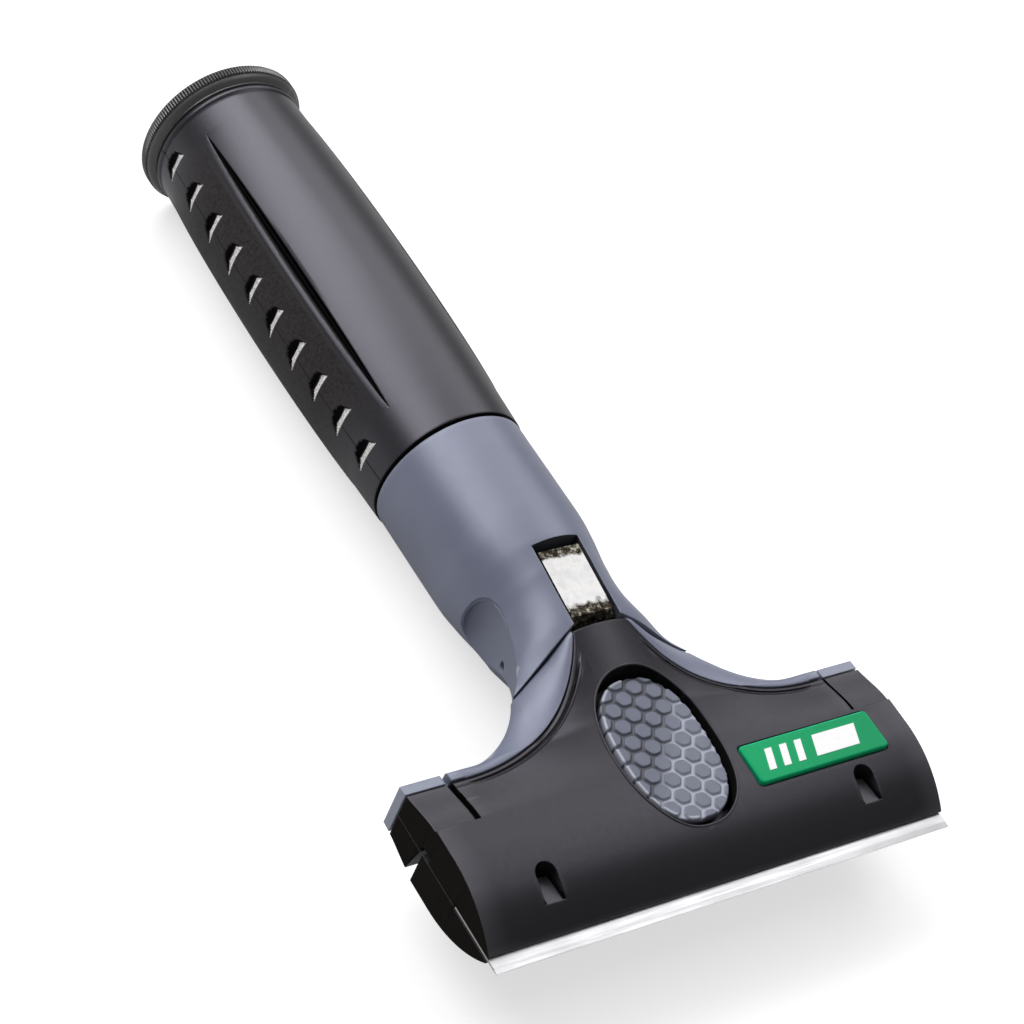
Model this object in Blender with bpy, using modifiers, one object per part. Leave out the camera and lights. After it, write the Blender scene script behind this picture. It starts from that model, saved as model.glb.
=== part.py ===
"""Hand scraper: a 100 mm blade head with a push button, on a hollow handle.

Tool frame: X runs along the blade, Y from the cutting edge to the handle's end,
Z from the underside to the button side.  The cutting edge is at Y = 0 and the
blade's mid plane at Z = 0.  Everything hangs on an empty that puts the origin
under the middle of the whole tool.  Lengths are in metres.
"""
import math

import bmesh
import bpy
from mathutils import Matrix, Vector

# Clearances
GAP = 0.0003
SEAM = 0.0003
OVERRUN = 0.0080
WELD = 0.00001

# Blade
BLADE_LENGTH = 0.1000
BLADE_DEPTH = 0.0140
BLADE_THICKNESS = 0.0004
BLADE_BEVEL = 0.0012
BLADE_TIP = 0.0001
PEG_FROM_END = 0.0150
PEG_RADIUS = 0.0013
PEG_INSET = 0.0017

# Head outline and thickness
END_MARGIN = 0.0001
HEAD_HALF_THICKNESS = 0.0073
SHELL_FRONT = 0.0030
LIP_HALF_HEIGHT = 0.0009
NOSE_RADIUS = 0.0232
HEAD_REAR = 0.0361
ARM_LENGTH = 0.0121
ARM_BEND_DEPTH = 0.0116
ARM_DROP = 0.0020
ARM_PULL = 0.0129
WAIST_Y = 0.0640
WAIST_HALF_WIDTH = 0.0147
WAIST_PULL = 0.0125
RIM_ROUND = 0.0005
SHELL_WALL = 0.0018

# Cover outline, seen from above
APEX_HALF_WIDTH = 0.0058
APEX_Y = 0.0535
APEX_PULL_X = 0.0037
APEX_PULL_Y = 0.0095
COVER_INSET = 0.0019
COVER_ARM_PULL = 0.0190

# Joint between head and neck
JOINT_Y = 0.0545
JOINT_SIDE_X = 0.0175
JOINT_SIDE_Y = 0.0486
NECK_PROUD_SHARE = 0.02

# Neck, as shares of the distance from blade edge to grip
GRIP_START = 0.1018
NECK_INSET = 0.0002
RISE_SHARES = ((0.18, 0.0), (0.236, 0.02), (0.295, 0.07), (0.354, 0.17), (0.413, 0.31), (0.472, 0.46),
               (0.534, 0.61), (0.589, 0.77), (0.648, 0.91), (0.707, 0.985), (0.786, 1.0), (1.0, 1.0))
WIDTH_SHARES = ((0.0, 0.0), (0.1, 0.1), (0.22, 0.6), (0.34, 0.95), (0.6, 1.0), (1.0, 1.0))
EDGE_SHARES = ((0.0, 1.0), (0.28, 1.05), (0.47, 0.98), (0.65, 0.6), (0.86, 0.1), (1.0, 0.0))
BELL_START = 0.0400
BELL_END = 0.0560
BELL_POWER_HEAD = 2.0
BELL_POWER_WAIST = 0.66
BELL_POWER_NECK = 0.5
WAIST_FADE_END = 0.0800
HOLLOW_Y = 0.0620
HOLLOW_Z = -0.0015
HOLLOW_DEPTH = 0.0036
HOLLOW_HALF_LENGTH = 0.0124
HOLLOW_HALF_WIDTH = 0.0120
HOLLOW_HALF_HEIGHT = 0.0160

# Scooped corners under the place where neck and head meet
SCOOP_REACH = 0.0188
SCOOP_Y = 0.0550
SCOOP_RADIUS = 0.0180
SCOOP_TOP = 0.0030
SCOOP_SLANT = 0.8

# Handle tube and pole socket
TUBE_WALL = 0.0016
SOCKET_MOUTH_RADIUS = 0.0116
SOCKET_STEP_DROP = 0.0020
SOCKET_TIP_DROP = 0.0011
SOCKET_FLOOR = 0.0030

# Grip
GRIP_LENGTH = 0.0942
GRIP_WALL = 0.0024
GRIP_SWELL = 0.0010
GRIP_EDGE_ROUND = 0.0006
NOTCH_COUNT = 10
NOTCH_START = 0.0080
NOTCH_STOP = 0.0052
NOTCH_HALF_LENGTH = 0.0034
NOTCH_WIDTH = 0.0034
NOTCH_DEPTH = 0.0012
NOTCH_SLANT = math.radians(24)
PANEL_FRONT = 0.0097
PANEL_REAR = 0.0075
PANEL_WIDTH_SHARE = 0.716
PANEL_CUT_WIDTH = 0.0011
PANEL_LEAN_SHARE = 0.2
PANEL_CUT_DEPTH = 0.0009

# End ring
RING_LENGTH = 0.0041
RING_PROUD = 0.0017
RING_NECK_PROUD = 0.0001
RING_CHAMFER = 0.0005
RIB_START = 0.0016
RIB_DEPTH = 0.00035
RIB_COUNT = 56

# Window and leaf spring
WINDOW_HALF_WIDTH = 0.0051
WINDOW_END = 0.0713
LEAF_HALF_WIDTH = 0.0045
LEAF_THICKNESS = 0.0006
LEAF_FOOT_Y = 0.0462
LEAF_BEND_Y = 0.0515
LEAF_RISE_Y = 0.0560
LEAF_RISE_DROP = 0.0045
LEAF_TIP_Y = 0.0698
LEAF_TIP_DROP = 0.0023
RIVET_RADIUS = 0.0010
RIVET_HEAD_RADIUS = 0.0018
RIVET_HEAD_HEIGHT = 0.0008
RIVET_SHOULDER_SHARE = 0.8
RIVET_DEPTH = 0.0030

# Head frame
WEB_DEPTH = 0.0046
WEB_HALF_THICKNESS = 0.0010
WEB_FROM_END = 0.0119
SPINE_HALF_WIDTH = 0.0070
SPINE_COVER = 0.0013
SPINE_FRONT = 0.0455
TENON_END = 0.0660
TENON_PIN_RADIUS = 0.0008
TENON_PIN_Y = 0.0586
TENON_PIN_Z = -0.0022
TENON_PIN_HALF_LENGTH = 0.0100

# Inside of the shells
CAVITY_FRONT = 0.0149
CAVITY_FROM_END = 0.0111
APEX_NOTCH_RISE = 0.0020
APEX_NOTCH_FRONT = 0.0515

# End blocks
BLOCK_WIDTH = 0.0091
BLOCK_DEPTH = 0.0114
BLOCK_DROP = 0.0023
SLIT_WIDTH = 0.0011
SLIT_DEPTH = 0.0022

# Jaw hinge
HINGE_INSET = 0.0001
HINGE_Z = 0.0017
HINGE_PIN_RADIUS = 0.00075
KNUCKLE_RADIUS = 0.0016
LUG_FROM_END = 0.0046
LUG_WIDTH = 0.0030
PIN_FROM_END = 0.0019
PIN_LENGTH = 0.0080
JAW_BEHIND_HINGE = 0.0006
JAW_OPEN = math.radians(13.0)
END_NOTCH_FRONT = 0.0014
END_NOTCH_REAR = 0.0016
END_NOTCH_TOP = 0.0014

# Jaw spring and its tails
TAIL_FROM_END = 0.0201
TAIL_HALF_WIDTH = 0.0021
TAIL_FRONT = 0.0052
TAIL_REACH = 0.0054
TAIL_TOP = -0.0012
TAIL_THICKNESS = 0.0020
JAW_SPRING_FROM_TAIL = 0.0021
JAW_SPRING_RADIUS = 0.0016
JAW_SPRING_WIRE = 0.0005
JAW_SPRING_TURNS = 5
RIB_HALF_WIDTH = 0.0006
JAW_RIB_X = 0.0170
JAW_RIB_TOP = -0.0016

# Button
BUTTON_Y = 0.0280
HOLE_HALF_WIDTH = 0.0109
HOLE_HALF_LENGTH = 0.0176
HOLE_POWER = 2.05
HOLE_FLOOR = 0.0029
PAD_SIDE_GAP = 0.0013
PAD_END_GAP = 0.0020
PAD_POWER = 2.15
PAD_FRONT_DROP = 0.0010
PAD_REAR_RISE = 0.0012
PAD_RIM_WIDTH = 0.0010
PAD_RIM_HEIGHT = 0.0004
PAD_EDGE = 0.0004
CELL_PITCH = 0.00325
CELL_GROOVE = 0.0006
CELL_SLOPE = 0.0002
CELL_RISE = 0.00045
STEM_Y = 0.0300
STEM_HALF_WIDTH = 0.0119
STEM_HALF_LENGTH = 0.0144
STEM_DROP = 0.0029
STEM_THICKNESS = 0.0013
PLUNGER_FRONT = 0.0160
PLUNGER_REAR = 0.0180
PLUNGER_HALF_WIDTH = 0.0050
ANVIL_TOP = -0.0025
ANVIL_MARGIN = 0.0008
SPRING_Y = 0.0340
SPRING_RADIUS = 0.0029
SPRING_WIRE = 0.0007
SPRING_TURNS = 6
SPRING_HOLE_RADIUS = 0.0042
SPRING_SEAT_RISE = 0.0013
SPRING_SEAT_RADIUS = 0.0044
WIRE_SIDES = 1
POINTS_PER_TURN = 12
COIL_EASE_SHARE = 0.3

# Cover screws
SCREW_PLACE_SHARE = 0.475
SCREW_Y = 0.0330
SCREW_RADIUS = 0.0011
SCREW_HEAD_RADIUS = 0.0021
SCREW_HEAD_HEIGHT = 0.0014
SCREW_COVER = 0.0031
BOSS_RADIUS = 0.0026
SCREW_RECESS = 0.0004

# Badge
BADGE_FROM_HOLE = 0.0024
BADGE_FROM_END = 0.0070
BADGE_CENTRE_Y = 0.0195
BADGE_HALF_WIDTH = 0.0042
BADGE_CORNER = 0.0008
BADGE_THICKNESS = 0.0012
BADGE_PROUD = 0.0005
BADGE_BEVEL = 0.0004

# Slots in the cover, one behind each end of the blade
SLOT_HALF_WIDTH = 0.0021
SLOT_FRONT = 0.0073
SLOT_REAR = 0.0139
SLOT_FLOOR = 0.0012
RAMP_HALF_WIDTH = 0.0016
RAMP_BACK = 0.0112
RAMP_LOW = 0.0022
RAMP_DROP = 0.0002

# Counts that set how finely round shapes are cut
ROUND_STEPS = 20
SLOT_STEPS = 10
LUG_STEPS = 12
PEG_NOTCH_STEPS = 8
SEARCH_STEPS = 40
HANDLE_STEPS = 44
SECTION_POINTS = 40
NOSE_ROWS = 6
BODY_ROWS = 7
BAND_ROWS = 4
CURVE_STATIONS = 8
OVAL_POINTS = 40
NECK_ROWS = 16
GRIP_ROWS = 10

# Places and sizes that follow from the ones above
HEAD_WIDTH = BLADE_LENGTH + 2 * END_MARGIN
HEAD_HALF_WIDTH = HEAD_WIDTH / 2
HALF_SEAM = SEAM / 2
POCKET_HALF_HEIGHT = BLADE_THICKNESS / 2 + GAP
NOSE_DROP = HEAD_HALF_THICKNESS - LIP_HALF_HEIGHT
NOSE_END = SHELL_FRONT + math.sqrt(2 * NOSE_RADIUS * NOSE_DROP - NOSE_DROP ** 2)
PEG_X = HEAD_HALF_WIDTH - PEG_FROM_END
ARM_ROOT_X = HEAD_HALF_WIDTH - ARM_LENGTH
ARM_REAR_HEIGHT = HEAD_HALF_THICKNESS - ARM_DROP
SCOOP_X = JOINT_SIDE_X + SCOOP_REACH
JOINT_HALF_FLAT = WINDOW_HALF_WIDTH - GAP
COVER_REAR = HEAD_REAR - COVER_INSET
WEB_FRONT = HEAD_REAR - WEB_DEPTH
WEB_HALF_WIDTH = HEAD_HALF_WIDTH - WEB_FROM_END
CAVITY_HALF_WIDTH = HEAD_HALF_WIDTH - CAVITY_FROM_END
SPINE_HALF_HEIGHT = HEAD_HALF_THICKNESS - SPINE_COVER
APEX_NOTCH_TOP = HEAD_HALF_THICKNESS + APEX_NOTCH_RISE
BLOCK_X = HEAD_HALF_WIDTH - BLOCK_WIDTH
BLOCK_FRONT = HEAD_REAR - BLOCK_DEPTH
BLOCK_TOP = HEAD_HALF_THICKNESS - BLOCK_DROP
HINGE_Y = BLOCK_FRONT - HINGE_INSET
LUG_OUTER_X = HEAD_HALF_WIDTH - LUG_FROM_END
LUG_INNER_X = LUG_OUTER_X - LUG_WIDTH
PIN_OUTER_X = HEAD_HALF_WIDTH - PIN_FROM_END
PIN_INNER_X = PIN_OUTER_X - PIN_LENGTH
JAW_REAR = HINGE_Y + JAW_BEHIND_HINGE
TAIL_X = HEAD_HALF_WIDTH - TAIL_FROM_END
TAIL_ROOT = JAW_REAR - TAIL_FRONT
TAIL_END = JAW_REAR + TAIL_REACH
JAW_SPRING_Y = TAIL_END - JAW_SPRING_FROM_TAIL
STEM_TOP = HEAD_HALF_THICKNESS - STEM_DROP
PAD_BOTTOM = STEM_TOP + GAP
PAD_FRONT_HEIGHT = HEAD_HALF_THICKNESS - PAD_FRONT_DROP
PAD_REAR_HEIGHT = HEAD_HALF_THICKNESS + PAD_REAR_RISE
PAD_HALF_WIDTH = HOLE_HALF_WIDTH - PAD_SIDE_GAP
PAD_HALF_LENGTH = HOLE_HALF_LENGTH - PAD_END_GAP
SPRING_SEAT_Z = SPRING_SEAT_RISE - HEAD_HALF_THICKNESS
SCREW_X = STEM_HALF_WIDTH + SCREW_PLACE_SHARE * (TAIL_X - STEM_HALF_WIDTH)
SCREW_TIP = HEAD_HALF_THICKNESS - SCREW_COVER
BADGE_INNER_X = HOLE_HALF_WIDTH + BADGE_FROM_HOLE
BADGE_OUTER_X = HEAD_HALF_WIDTH - BADGE_FROM_END
BADGE_CENTRE_X = (BADGE_INNER_X + BADGE_OUTER_X) / 2
BADGE_HALF_LENGTH = (BADGE_OUTER_X - BADGE_INNER_X) / 2
TUBE_RADIUS = SOCKET_MOUTH_RADIUS + TUBE_WALL
SOCKET_STEP_RADIUS = SOCKET_MOUTH_RADIUS - SOCKET_STEP_DROP
SOCKET_TIP_RADIUS = SOCKET_STEP_RADIUS - SOCKET_TIP_DROP
SOCKET_END = TENON_END + SOCKET_FLOOR
GRIP_END_RADIUS = TUBE_RADIUS + GAP + GRIP_WALL
GRIP_MIDDLE_RADIUS = GRIP_END_RADIUS + GRIP_SWELL
GRIP_END = GRIP_START + GRIP_LENGTH
NECK_RADIUS = GRIP_END_RADIUS - NECK_INSET
LEAF_RISE_Z = NECK_RADIUS - LEAF_RISE_DROP
LEAF_TIP_Z = NECK_RADIUS - LEAF_TIP_DROP
NOTCH_FIRST = GRIP_START + NOTCH_START
NOTCH_PITCH = (GRIP_LENGTH - NOTCH_START - NOTCH_STOP) / (NOTCH_COUNT - 1)
PANEL_START = GRIP_START + PANEL_FRONT
PANEL_END = GRIP_END - PANEL_REAR
PANEL_HALF_WIDTH = PANEL_WIDTH_SHARE * GRIP_MIDDLE_RADIUS
RING_START = GRIP_END + GAP
RING_END = RING_START + RING_LENGTH
RING_RADIUS = GRIP_END_RADIUS + RING_PROUD
RING_NECK_RADIUS = GRIP_END_RADIUS + RING_NECK_PROUD
OVERALL_LENGTH = RING_END


def smooth(share):
    """Ease from 0 to 1 with level ends."""
    held = min(1.0, max(0.0, share))
    return held * held * (3 - 2 * held)


def read_shares(shares, place):
    """Read a table of (place, value) shares with an eased step between rows."""
    if place <= shares[0][0]:
        return shares[0][1]
    for (start, low), (end, high) in zip(shares, shares[1:]):
        if place <= end:
            return low + (high - low) * (place - start) / (end - start)
    return shares[-1][1]


def bezier(points, t):
    """Point at t on a cubic curve through two of the four points."""
    a, b, c, d = points
    s = 1 - t
    return tuple(s ** 3 * p + 3 * s * s * t * q + 3 * s * t * t * r + t ** 3 * v
                 for p, q, r, v in zip(a, b, c, d))


def solve(function, target, low, high):
    """Find where a rising or falling function meets the target."""
    rising = function(high) > function(low)
    for _ in range(SEARCH_STEPS):
        middle = (low + high) / 2
        if (function(middle) < target) == rising:
            low = middle
        else:
            high = middle
    return (low + high) / 2


CONTOUR = ((WAIST_HALF_WIDTH, WAIST_Y), (WAIST_HALF_WIDTH, WAIST_Y - WAIST_PULL),
           (ARM_ROOT_X - ARM_PULL, HEAD_REAR), (ARM_ROOT_X, HEAD_REAR))
COVER_EDGE = ((APEX_HALF_WIDTH, APEX_Y), (APEX_HALF_WIDTH + APEX_PULL_X, APEX_Y - APEX_PULL_Y),
              (ARM_ROOT_X - COVER_ARM_PULL, COVER_REAR), (ARM_ROOT_X, COVER_REAR))


def contour_y(x):
    """Rear edge of the head's plan outline."""
    reach = abs(x)
    if reach >= ARM_ROOT_X:
        return HEAD_REAR
    if reach <= WAIST_HALF_WIDTH:
        return WAIST_Y
    return bezier(CONTOUR, solve(lambda t: bezier(CONTOUR, t)[0], reach, 0, 1))[1]


def half_width(y):
    """Half the width of the head and neck at one place along the tool."""
    if y <= HEAD_REAR:
        return ARM_ROOT_X
    if y >= WAIST_Y:
        share = read_shares(WIDTH_SHARES, (y - WAIST_Y) / (GRIP_START - WAIST_Y))
        return WAIST_HALF_WIDTH + (NECK_RADIUS - WAIST_HALF_WIDTH) * share
    return bezier(CONTOUR, solve(lambda t: bezier(CONTOUR, t)[1], y, 0, 1))[0]


def cover_y(x):
    """Rear edge of the two covers."""
    reach = abs(x)
    if reach >= ARM_ROOT_X:
        return COVER_REAR
    if reach <= APEX_HALF_WIDTH:
        return APEX_Y
    return bezier(COVER_EDGE, solve(lambda t: bezier(COVER_EDGE, t)[0], reach, 0, 1))[1]


def joint_y(x):
    """Line in plan where the neck meets the head."""
    side = max(0, abs(x) - JOINT_HALF_FLAT)
    return JOINT_Y - side * (JOINT_Y - JOINT_SIDE_Y) / (JOINT_SIDE_X - JOINT_HALF_FLAT)


def nose_height(y):
    """Height of the rounded nose above the mid plane."""
    if y >= NOSE_END:
        return HEAD_HALF_THICKNESS
    return HEAD_HALF_THICKNESS - NOSE_RADIUS + math.sqrt(NOSE_RADIUS ** 2 - (NOSE_END - y) ** 2)


def ridge_height(y):
    """Height along the tool's centre line."""
    rise = NECK_RADIUS - HEAD_HALF_THICKNESS
    return HEAD_HALF_THICKNESS + rise * read_shares(RISE_SHARES, y / GRIP_START)


def edge_height(y):
    """Height where the top meets the side wall."""
    if y <= HEAD_REAR:
        fall = smooth((y - HEAD_REAR + ARM_BEND_DEPTH) / ARM_BEND_DEPTH)
        return HEAD_HALF_THICKNESS - (HEAD_HALF_THICKNESS - ARM_REAR_HEIGHT) * fall
    return ARM_REAR_HEIGHT * read_shares(EDGE_SHARES, (y - HEAD_REAR) / (WAIST_Y - HEAD_REAR))


def top_height(x, y):
    """Height of the head and neck above the mid plane."""
    if y <= NOSE_END:
        return nose_height(y)
    edge = edge_height(y)
    spread = min(1.0, abs(x) / half_width(y))
    blend = smooth((y - BELL_START) / (BELL_END - BELL_START))
    fade = smooth((y - WAIST_Y) / (WAIST_FADE_END - WAIST_Y))
    power = BELL_POWER_HEAD + (BELL_POWER_WAIST - BELL_POWER_HEAD) * blend
    power += (BELL_POWER_NECK - BELL_POWER_WAIST) * fade
    return edge + (ridge_height(y) - edge) * (1 - spread * spread) ** power


def grip_radius(y):
    """Barrel-shaped grip, thickest in the middle."""
    middle = (GRIP_START + GRIP_END) / 2
    share = (y - middle) / (GRIP_END - middle)
    return GRIP_MIDDLE_RADIUS - (GRIP_MIDDLE_RADIUS - GRIP_END_RADIUS) * share * share


# Scene and object helpers


def clear_scene():
    for obj in list(bpy.data.objects):
        bpy.data.objects.remove(obj, do_unlink=True)


clear_scene()
PARTS = bpy.data.collections.new("hand_scraper")
CUTTERS = bpy.data.collections.new("hand_scraper_cutters")
bpy.context.scene.collection.children.link(PARTS)
bpy.context.scene.collection.children.link(CUTTERS)
DATUM = bpy.data.objects.new("tool_datum", None)
DATUM.location = (0, -OVERALL_LENGTH / 2, RING_RADIUS)
PARTS.objects.link(DATUM)


def material(name, colour, roughness, metallic=0.0):
    finish = bpy.data.materials.new(name)
    finish.use_nodes = True
    shader = finish.node_tree.nodes["Principled BSDF"]
    shader.inputs["Base Color"].default_value = (*colour, 1)
    shader.inputs["Roughness"].default_value = roughness
    shader.inputs["Metallic"].default_value = metallic
    finish.diffuse_color = (*colour, 1)
    return finish


BLUE_GREY = material("blue_grey_plastic", (0.17, 0.19, 0.24), 0.42)
BLACK = material("black_plastic", (0.022, 0.021, 0.024), 0.45)
GRIP_BLACK = material("grip_rubber", (0.025, 0.023, 0.026), 0.55)
RING_BLACK = material("ring_plastic", (0.02, 0.02, 0.02), 0.5)
PAD_GREY = material("pad_rubber", (0.20, 0.22, 0.29), 0.5)
STEEL = material("blade_steel", (0.62, 0.63, 0.65), 0.28, 1.0)
SPRING_STEEL = material("spring_steel", (0.72, 0.72, 0.73), 0.18, 1.0)
BADGE_GREEN = material("badge_green", (0.0, 0.27, 0.12), 0.15)


def add_object(name, mesh, finish=None, at=(0, 0, 0)):
    """Make an object whose origin lies at a point of the tool frame."""
    mesh.transform(Matrix.Translation(-Vector(at)))
    obj = bpy.data.objects.new(name, mesh)
    obj.parent = DATUM
    obj.location = at
    if finish is None:
        CUTTERS.objects.link(obj)
        obj.hide_render = True
        obj.display_type = "WIRE"
    else:
        PARTS.objects.link(obj)
        mesh.materials.append(finish)
    return obj


def mesh_from(bm, name):
    mesh = bpy.data.meshes.new(name)
    bmesh.ops.recalc_face_normals(bm, faces=bm.faces)
    if bm.calc_volume(signed=True) < 0:
        bmesh.ops.reverse_faces(bm, faces=bm.faces)
    bm.to_mesh(mesh)
    bm.free()
    return mesh


def round_shading(obj, angle=math.radians(32)):
    obj.data.shade_smooth()
    obj.data.set_sharp_from_angle(angle=angle)
    return obj


def box(name, low, high, finish=None, at=(0, 0, 0)):
    bm = bmesh.new()
    bmesh.ops.create_cube(bm, size=1)
    size = [b - a for a, b in zip(low, high)]
    middle = [(a + b) / 2 for a, b in zip(low, high)]
    bmesh.ops.scale(bm, vec=size, verts=bm.verts)
    bmesh.ops.translate(bm, vec=middle, verts=bm.verts)
    return add_object(name, mesh_from(bm, name), finish, at)


def add_cylinder(bm, radius, start, end, end_radius=None, segments=ROUND_STEPS):
    """Cylinder or cone between two points."""
    start, end = Vector(start), Vector(end)
    along = end - start
    turn = Vector((0, 0, 1)).rotation_difference(along).to_matrix().to_4x4()
    place = Matrix.Translation((start + end) / 2) @ turn
    far = radius if end_radius is None else end_radius
    return bmesh.ops.create_cone(bm, cap_ends=True, segments=segments, radius1=radius, radius2=far,
                                 depth=along.length, matrix=place)


def cylinder(name, radius, start, end, finish=None, at=(0, 0, 0), end_radius=None):
    bm = bmesh.new()
    add_cylinder(bm, radius, start, end, end_radius)
    return add_object(name, mesh_from(bm, name), finish, at)


def mesh_of_curve(source, name):
    """Turn a curve object into one closed mesh and remove the curve."""
    bpy.context.view_layer.update()
    mesh = bpy.data.meshes.new_from_object(source.evaluated_get(bpy.context.evaluated_depsgraph_get()))
    mesh.transform(source.matrix_world)
    bpy.data.objects.remove(source)
    bm = bmesh.new()
    bm.from_mesh(mesh)
    bmesh.ops.remove_doubles(bm, verts=bm.verts, dist=WELD)
    bpy.data.meshes.remove(mesh)
    return mesh_from(bm, name)


def flat_solid(name, outline, low, high, finish=None, at=(0, 0, 0), side_view=False):
    """Extrude a flat outline; a side view is drawn in Y and Z and runs along X."""
    curve = bpy.data.curves.new(name, "CURVE")
    curve.dimensions = "2D"
    curve.fill_mode = "BOTH"
    curve.extrude = (high - low) / 2
    spline = curve.splines.new("POLY")
    spline.points.add(len(outline) - 1)
    for point, (a, b) in zip(spline.points, outline):
        point.co = (a, b, 0, 1)
    spline.use_cyclic_u = True
    source = bpy.data.objects.new(name + "_outline", curve)
    PARTS.objects.link(source)
    mesh = mesh_of_curve(source, name)
    mesh.transform(Matrix.Translation((0, 0, (low + high) / 2)))
    if side_view:
        mesh.transform(Matrix(((0, 0, 1, 0), (1, 0, 0, 0), (0, 1, 0, 0), (0, 0, 0, 1))))
    return add_object(name, mesh, finish, at)


def loft(name, rings, finish=None, at=(0, 0, 0), loop=False):
    """Skin a row of rings with equal counts; a loop joins the last to the first."""
    bm = bmesh.new()
    rows = [[bm.verts.new(point) for point in ring] for ring in rings]
    pairs = list(zip(rows, rows[1:]))
    if loop:
        pairs.append((rows[-1], rows[0]))
    for near, far in pairs:
        for k in range(len(near)):
            following = (k + 1) % len(near)
            bm.faces.new((near[k], near[following], far[following], far[k]))
    if not loop:
        bm.faces.new(rows[0])
        bm.faces.new(rows[-1])
    return add_object(name, mesh_from(bm, name), finish, at)


def plate(name, stations, rows, low, high, finish=None, at=(0, 0, 0)):
    """Closed solid over a plan grid, from a flat level to a height function."""
    bm = bmesh.new()
    tops, feet = [], []
    for x in stations:
        places = rows(x)
        tops.append([bm.verts.new((x, y, high(x, y))) for y in places])
        feet.append([bm.verts.new((x, y, low(x, y) if callable(low) else low)) for y in places])
    for grid in (tops, feet) if callable(low) else (tops,):
        for near, far in zip(grid, grid[1:]):
            for k in range(len(near) - 1):
                bm.faces.new((near[k], near[k + 1], far[k + 1], far[k]))
    for top, foot in ((tops[0], feet[0]), (tops[-1], feet[-1])):
        for k in range(len(top) - 1):
            bm.faces.new((top[k], top[k + 1], foot[k + 1], foot[k]))
    for k in (0, -1):
        for column in range(len(tops) - 1):
            bm.faces.new((tops[column][k], tops[column + 1][k], feet[column + 1][k], feet[column][k]))
    if not callable(low):
        edge = [column[0] for column in feet] + feet[-1][1:-1]
        edge += [column[-1] for column in reversed(feet)] + feet[0][-2:0:-1]
        bm.faces.new(edge)
    return add_object(name, mesh_from(bm, name), finish, at)


def combine(target, tool, operation="DIFFERENCE"):
    change = target.modifiers.new(tool.name, "BOOLEAN")
    change.operation = operation
    change.solver = "EXACT"
    change.object = tool
    return target


def join(target, tool):
    return combine(target, tool, "UNION")


def span(a, b):
    return (min(a, b), max(a, b))


def side_box(name, side, near, far, y_range, z_range):
    low, high = span(side * near, side * far)
    return box(name, (low, y_range[0], z_range[0]), (high, y_range[1], z_range[1]))


# Plan grids


def mirrored(places):
    return [-x for x in reversed(places) if x > 0] + list(places)


def cover_stations(inset=0.0, reach=HEAD_HALF_WIDTH):
    """Stations across a cover, close together where its edge curves."""
    places = [0, APEX_HALF_WIDTH / 2, APEX_HALF_WIDTH]
    places += [bezier(COVER_EDGE, k / CURVE_STATIONS)[0] for k in range(1, CURVE_STATIONS + 1)]
    places += [BLOCK_X, (BLOCK_X + HEAD_HALF_WIDTH) / 2]
    return mirrored([x for x in places if x < reach - inset] + [reach - inset])


def frame_stations():
    places = [0, APEX_HALF_WIDTH / 2, APEX_HALF_WIDTH]
    places += [APEX_HALF_WIDTH + (JOINT_SIDE_X - APEX_HALF_WIDTH) * k / 4 for k in range(1, 4)]
    places += [bezier(CONTOUR, k / CURVE_STATIONS)[0] for k in range(3, CURVE_STATIONS + 1)]
    arm_middle = (ARM_ROOT_X + HEAD_HALF_WIDTH) / 2
    places += [WEB_HALF_WIDTH, WEB_HALF_WIDTH + GAP / 2, arm_middle, HEAD_HALF_WIDTH]
    return mirrored(places)


def cover_rows(front, inset=0.0, nose=True):
    """Rows from the front to the cover's rear edge; the nose rows follow its arc."""
    def rows(x):
        places = []
        if nose:
            turn = math.asin((NOSE_END - front) / NOSE_RADIUS)
            turns = [turn * (1 - k / NOSE_ROWS) for k in range(NOSE_ROWS)]
            places = [NOSE_END - NOSE_RADIUS * math.sin(angle) for angle in turns]
        start = NOSE_END if nose else front
        rear = cover_y(x) - inset
        return places + [start + (rear - start) * k / BODY_ROWS for k in range(BODY_ROWS + 1)]
    return rows


def frame_rear(x):
    if abs(x) >= ARM_ROOT_X:
        return HEAD_REAR
    return min(contour_y(x), joint_y(x) - GAP / 2)


def frame_rows(x):
    """Rows of the frame, crowded at the rear for the rounded edge."""
    rear = frame_rear(x)
    near = rear - RIM_ROUND
    front = WEB_FRONT if abs(x) <= WEB_HALF_WIDTH else COVER_REAR + GAP + GAP / 2
    places = [front + (near - front) * k / BAND_ROWS for k in range(BAND_ROWS + 1)]
    return places + [rear - RIM_ROUND * (1 - math.sin(math.pi / 6)), rear]


def frame_top(x, y):
    """Top of the frame with its rear edge rounded off."""
    into = max(0, y - (frame_rear(x) - RIM_ROUND)) / RIM_ROUND
    return top_height(x, y) - RIM_ROUND * (1 - math.sqrt(max(0, 1 - into * into)))


# Outlines


def oval(centre_y, half_x, half_y, power, count=OVAL_POINTS):
    """Superellipse: power 2 is an ellipse, more is squarer."""
    points = []
    for k in range(count):
        angle = math.tau * k / count
        c, s = math.cos(angle), math.sin(angle)
        points.append((half_x * math.copysign(abs(c) ** (2 / power), c),
                       centre_y + half_y * math.copysign(abs(s) ** (2 / power), s)))
    return points


def rounded_rectangle(centre, half_x, half_y, corner, steps=4):
    points = []
    for turn, (sx, sy) in enumerate(((1, 1), (-1, 1), (-1, -1), (1, -1))):
        for k in range(steps + 1):
            angle = math.pi / 2 * (turn + k / steps)
            points.append((centre[0] + sx * (half_x - corner) + corner * math.cos(angle),
                           centre[1] + sy * (half_y - corner) + corner * math.sin(angle)))
    return points


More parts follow.
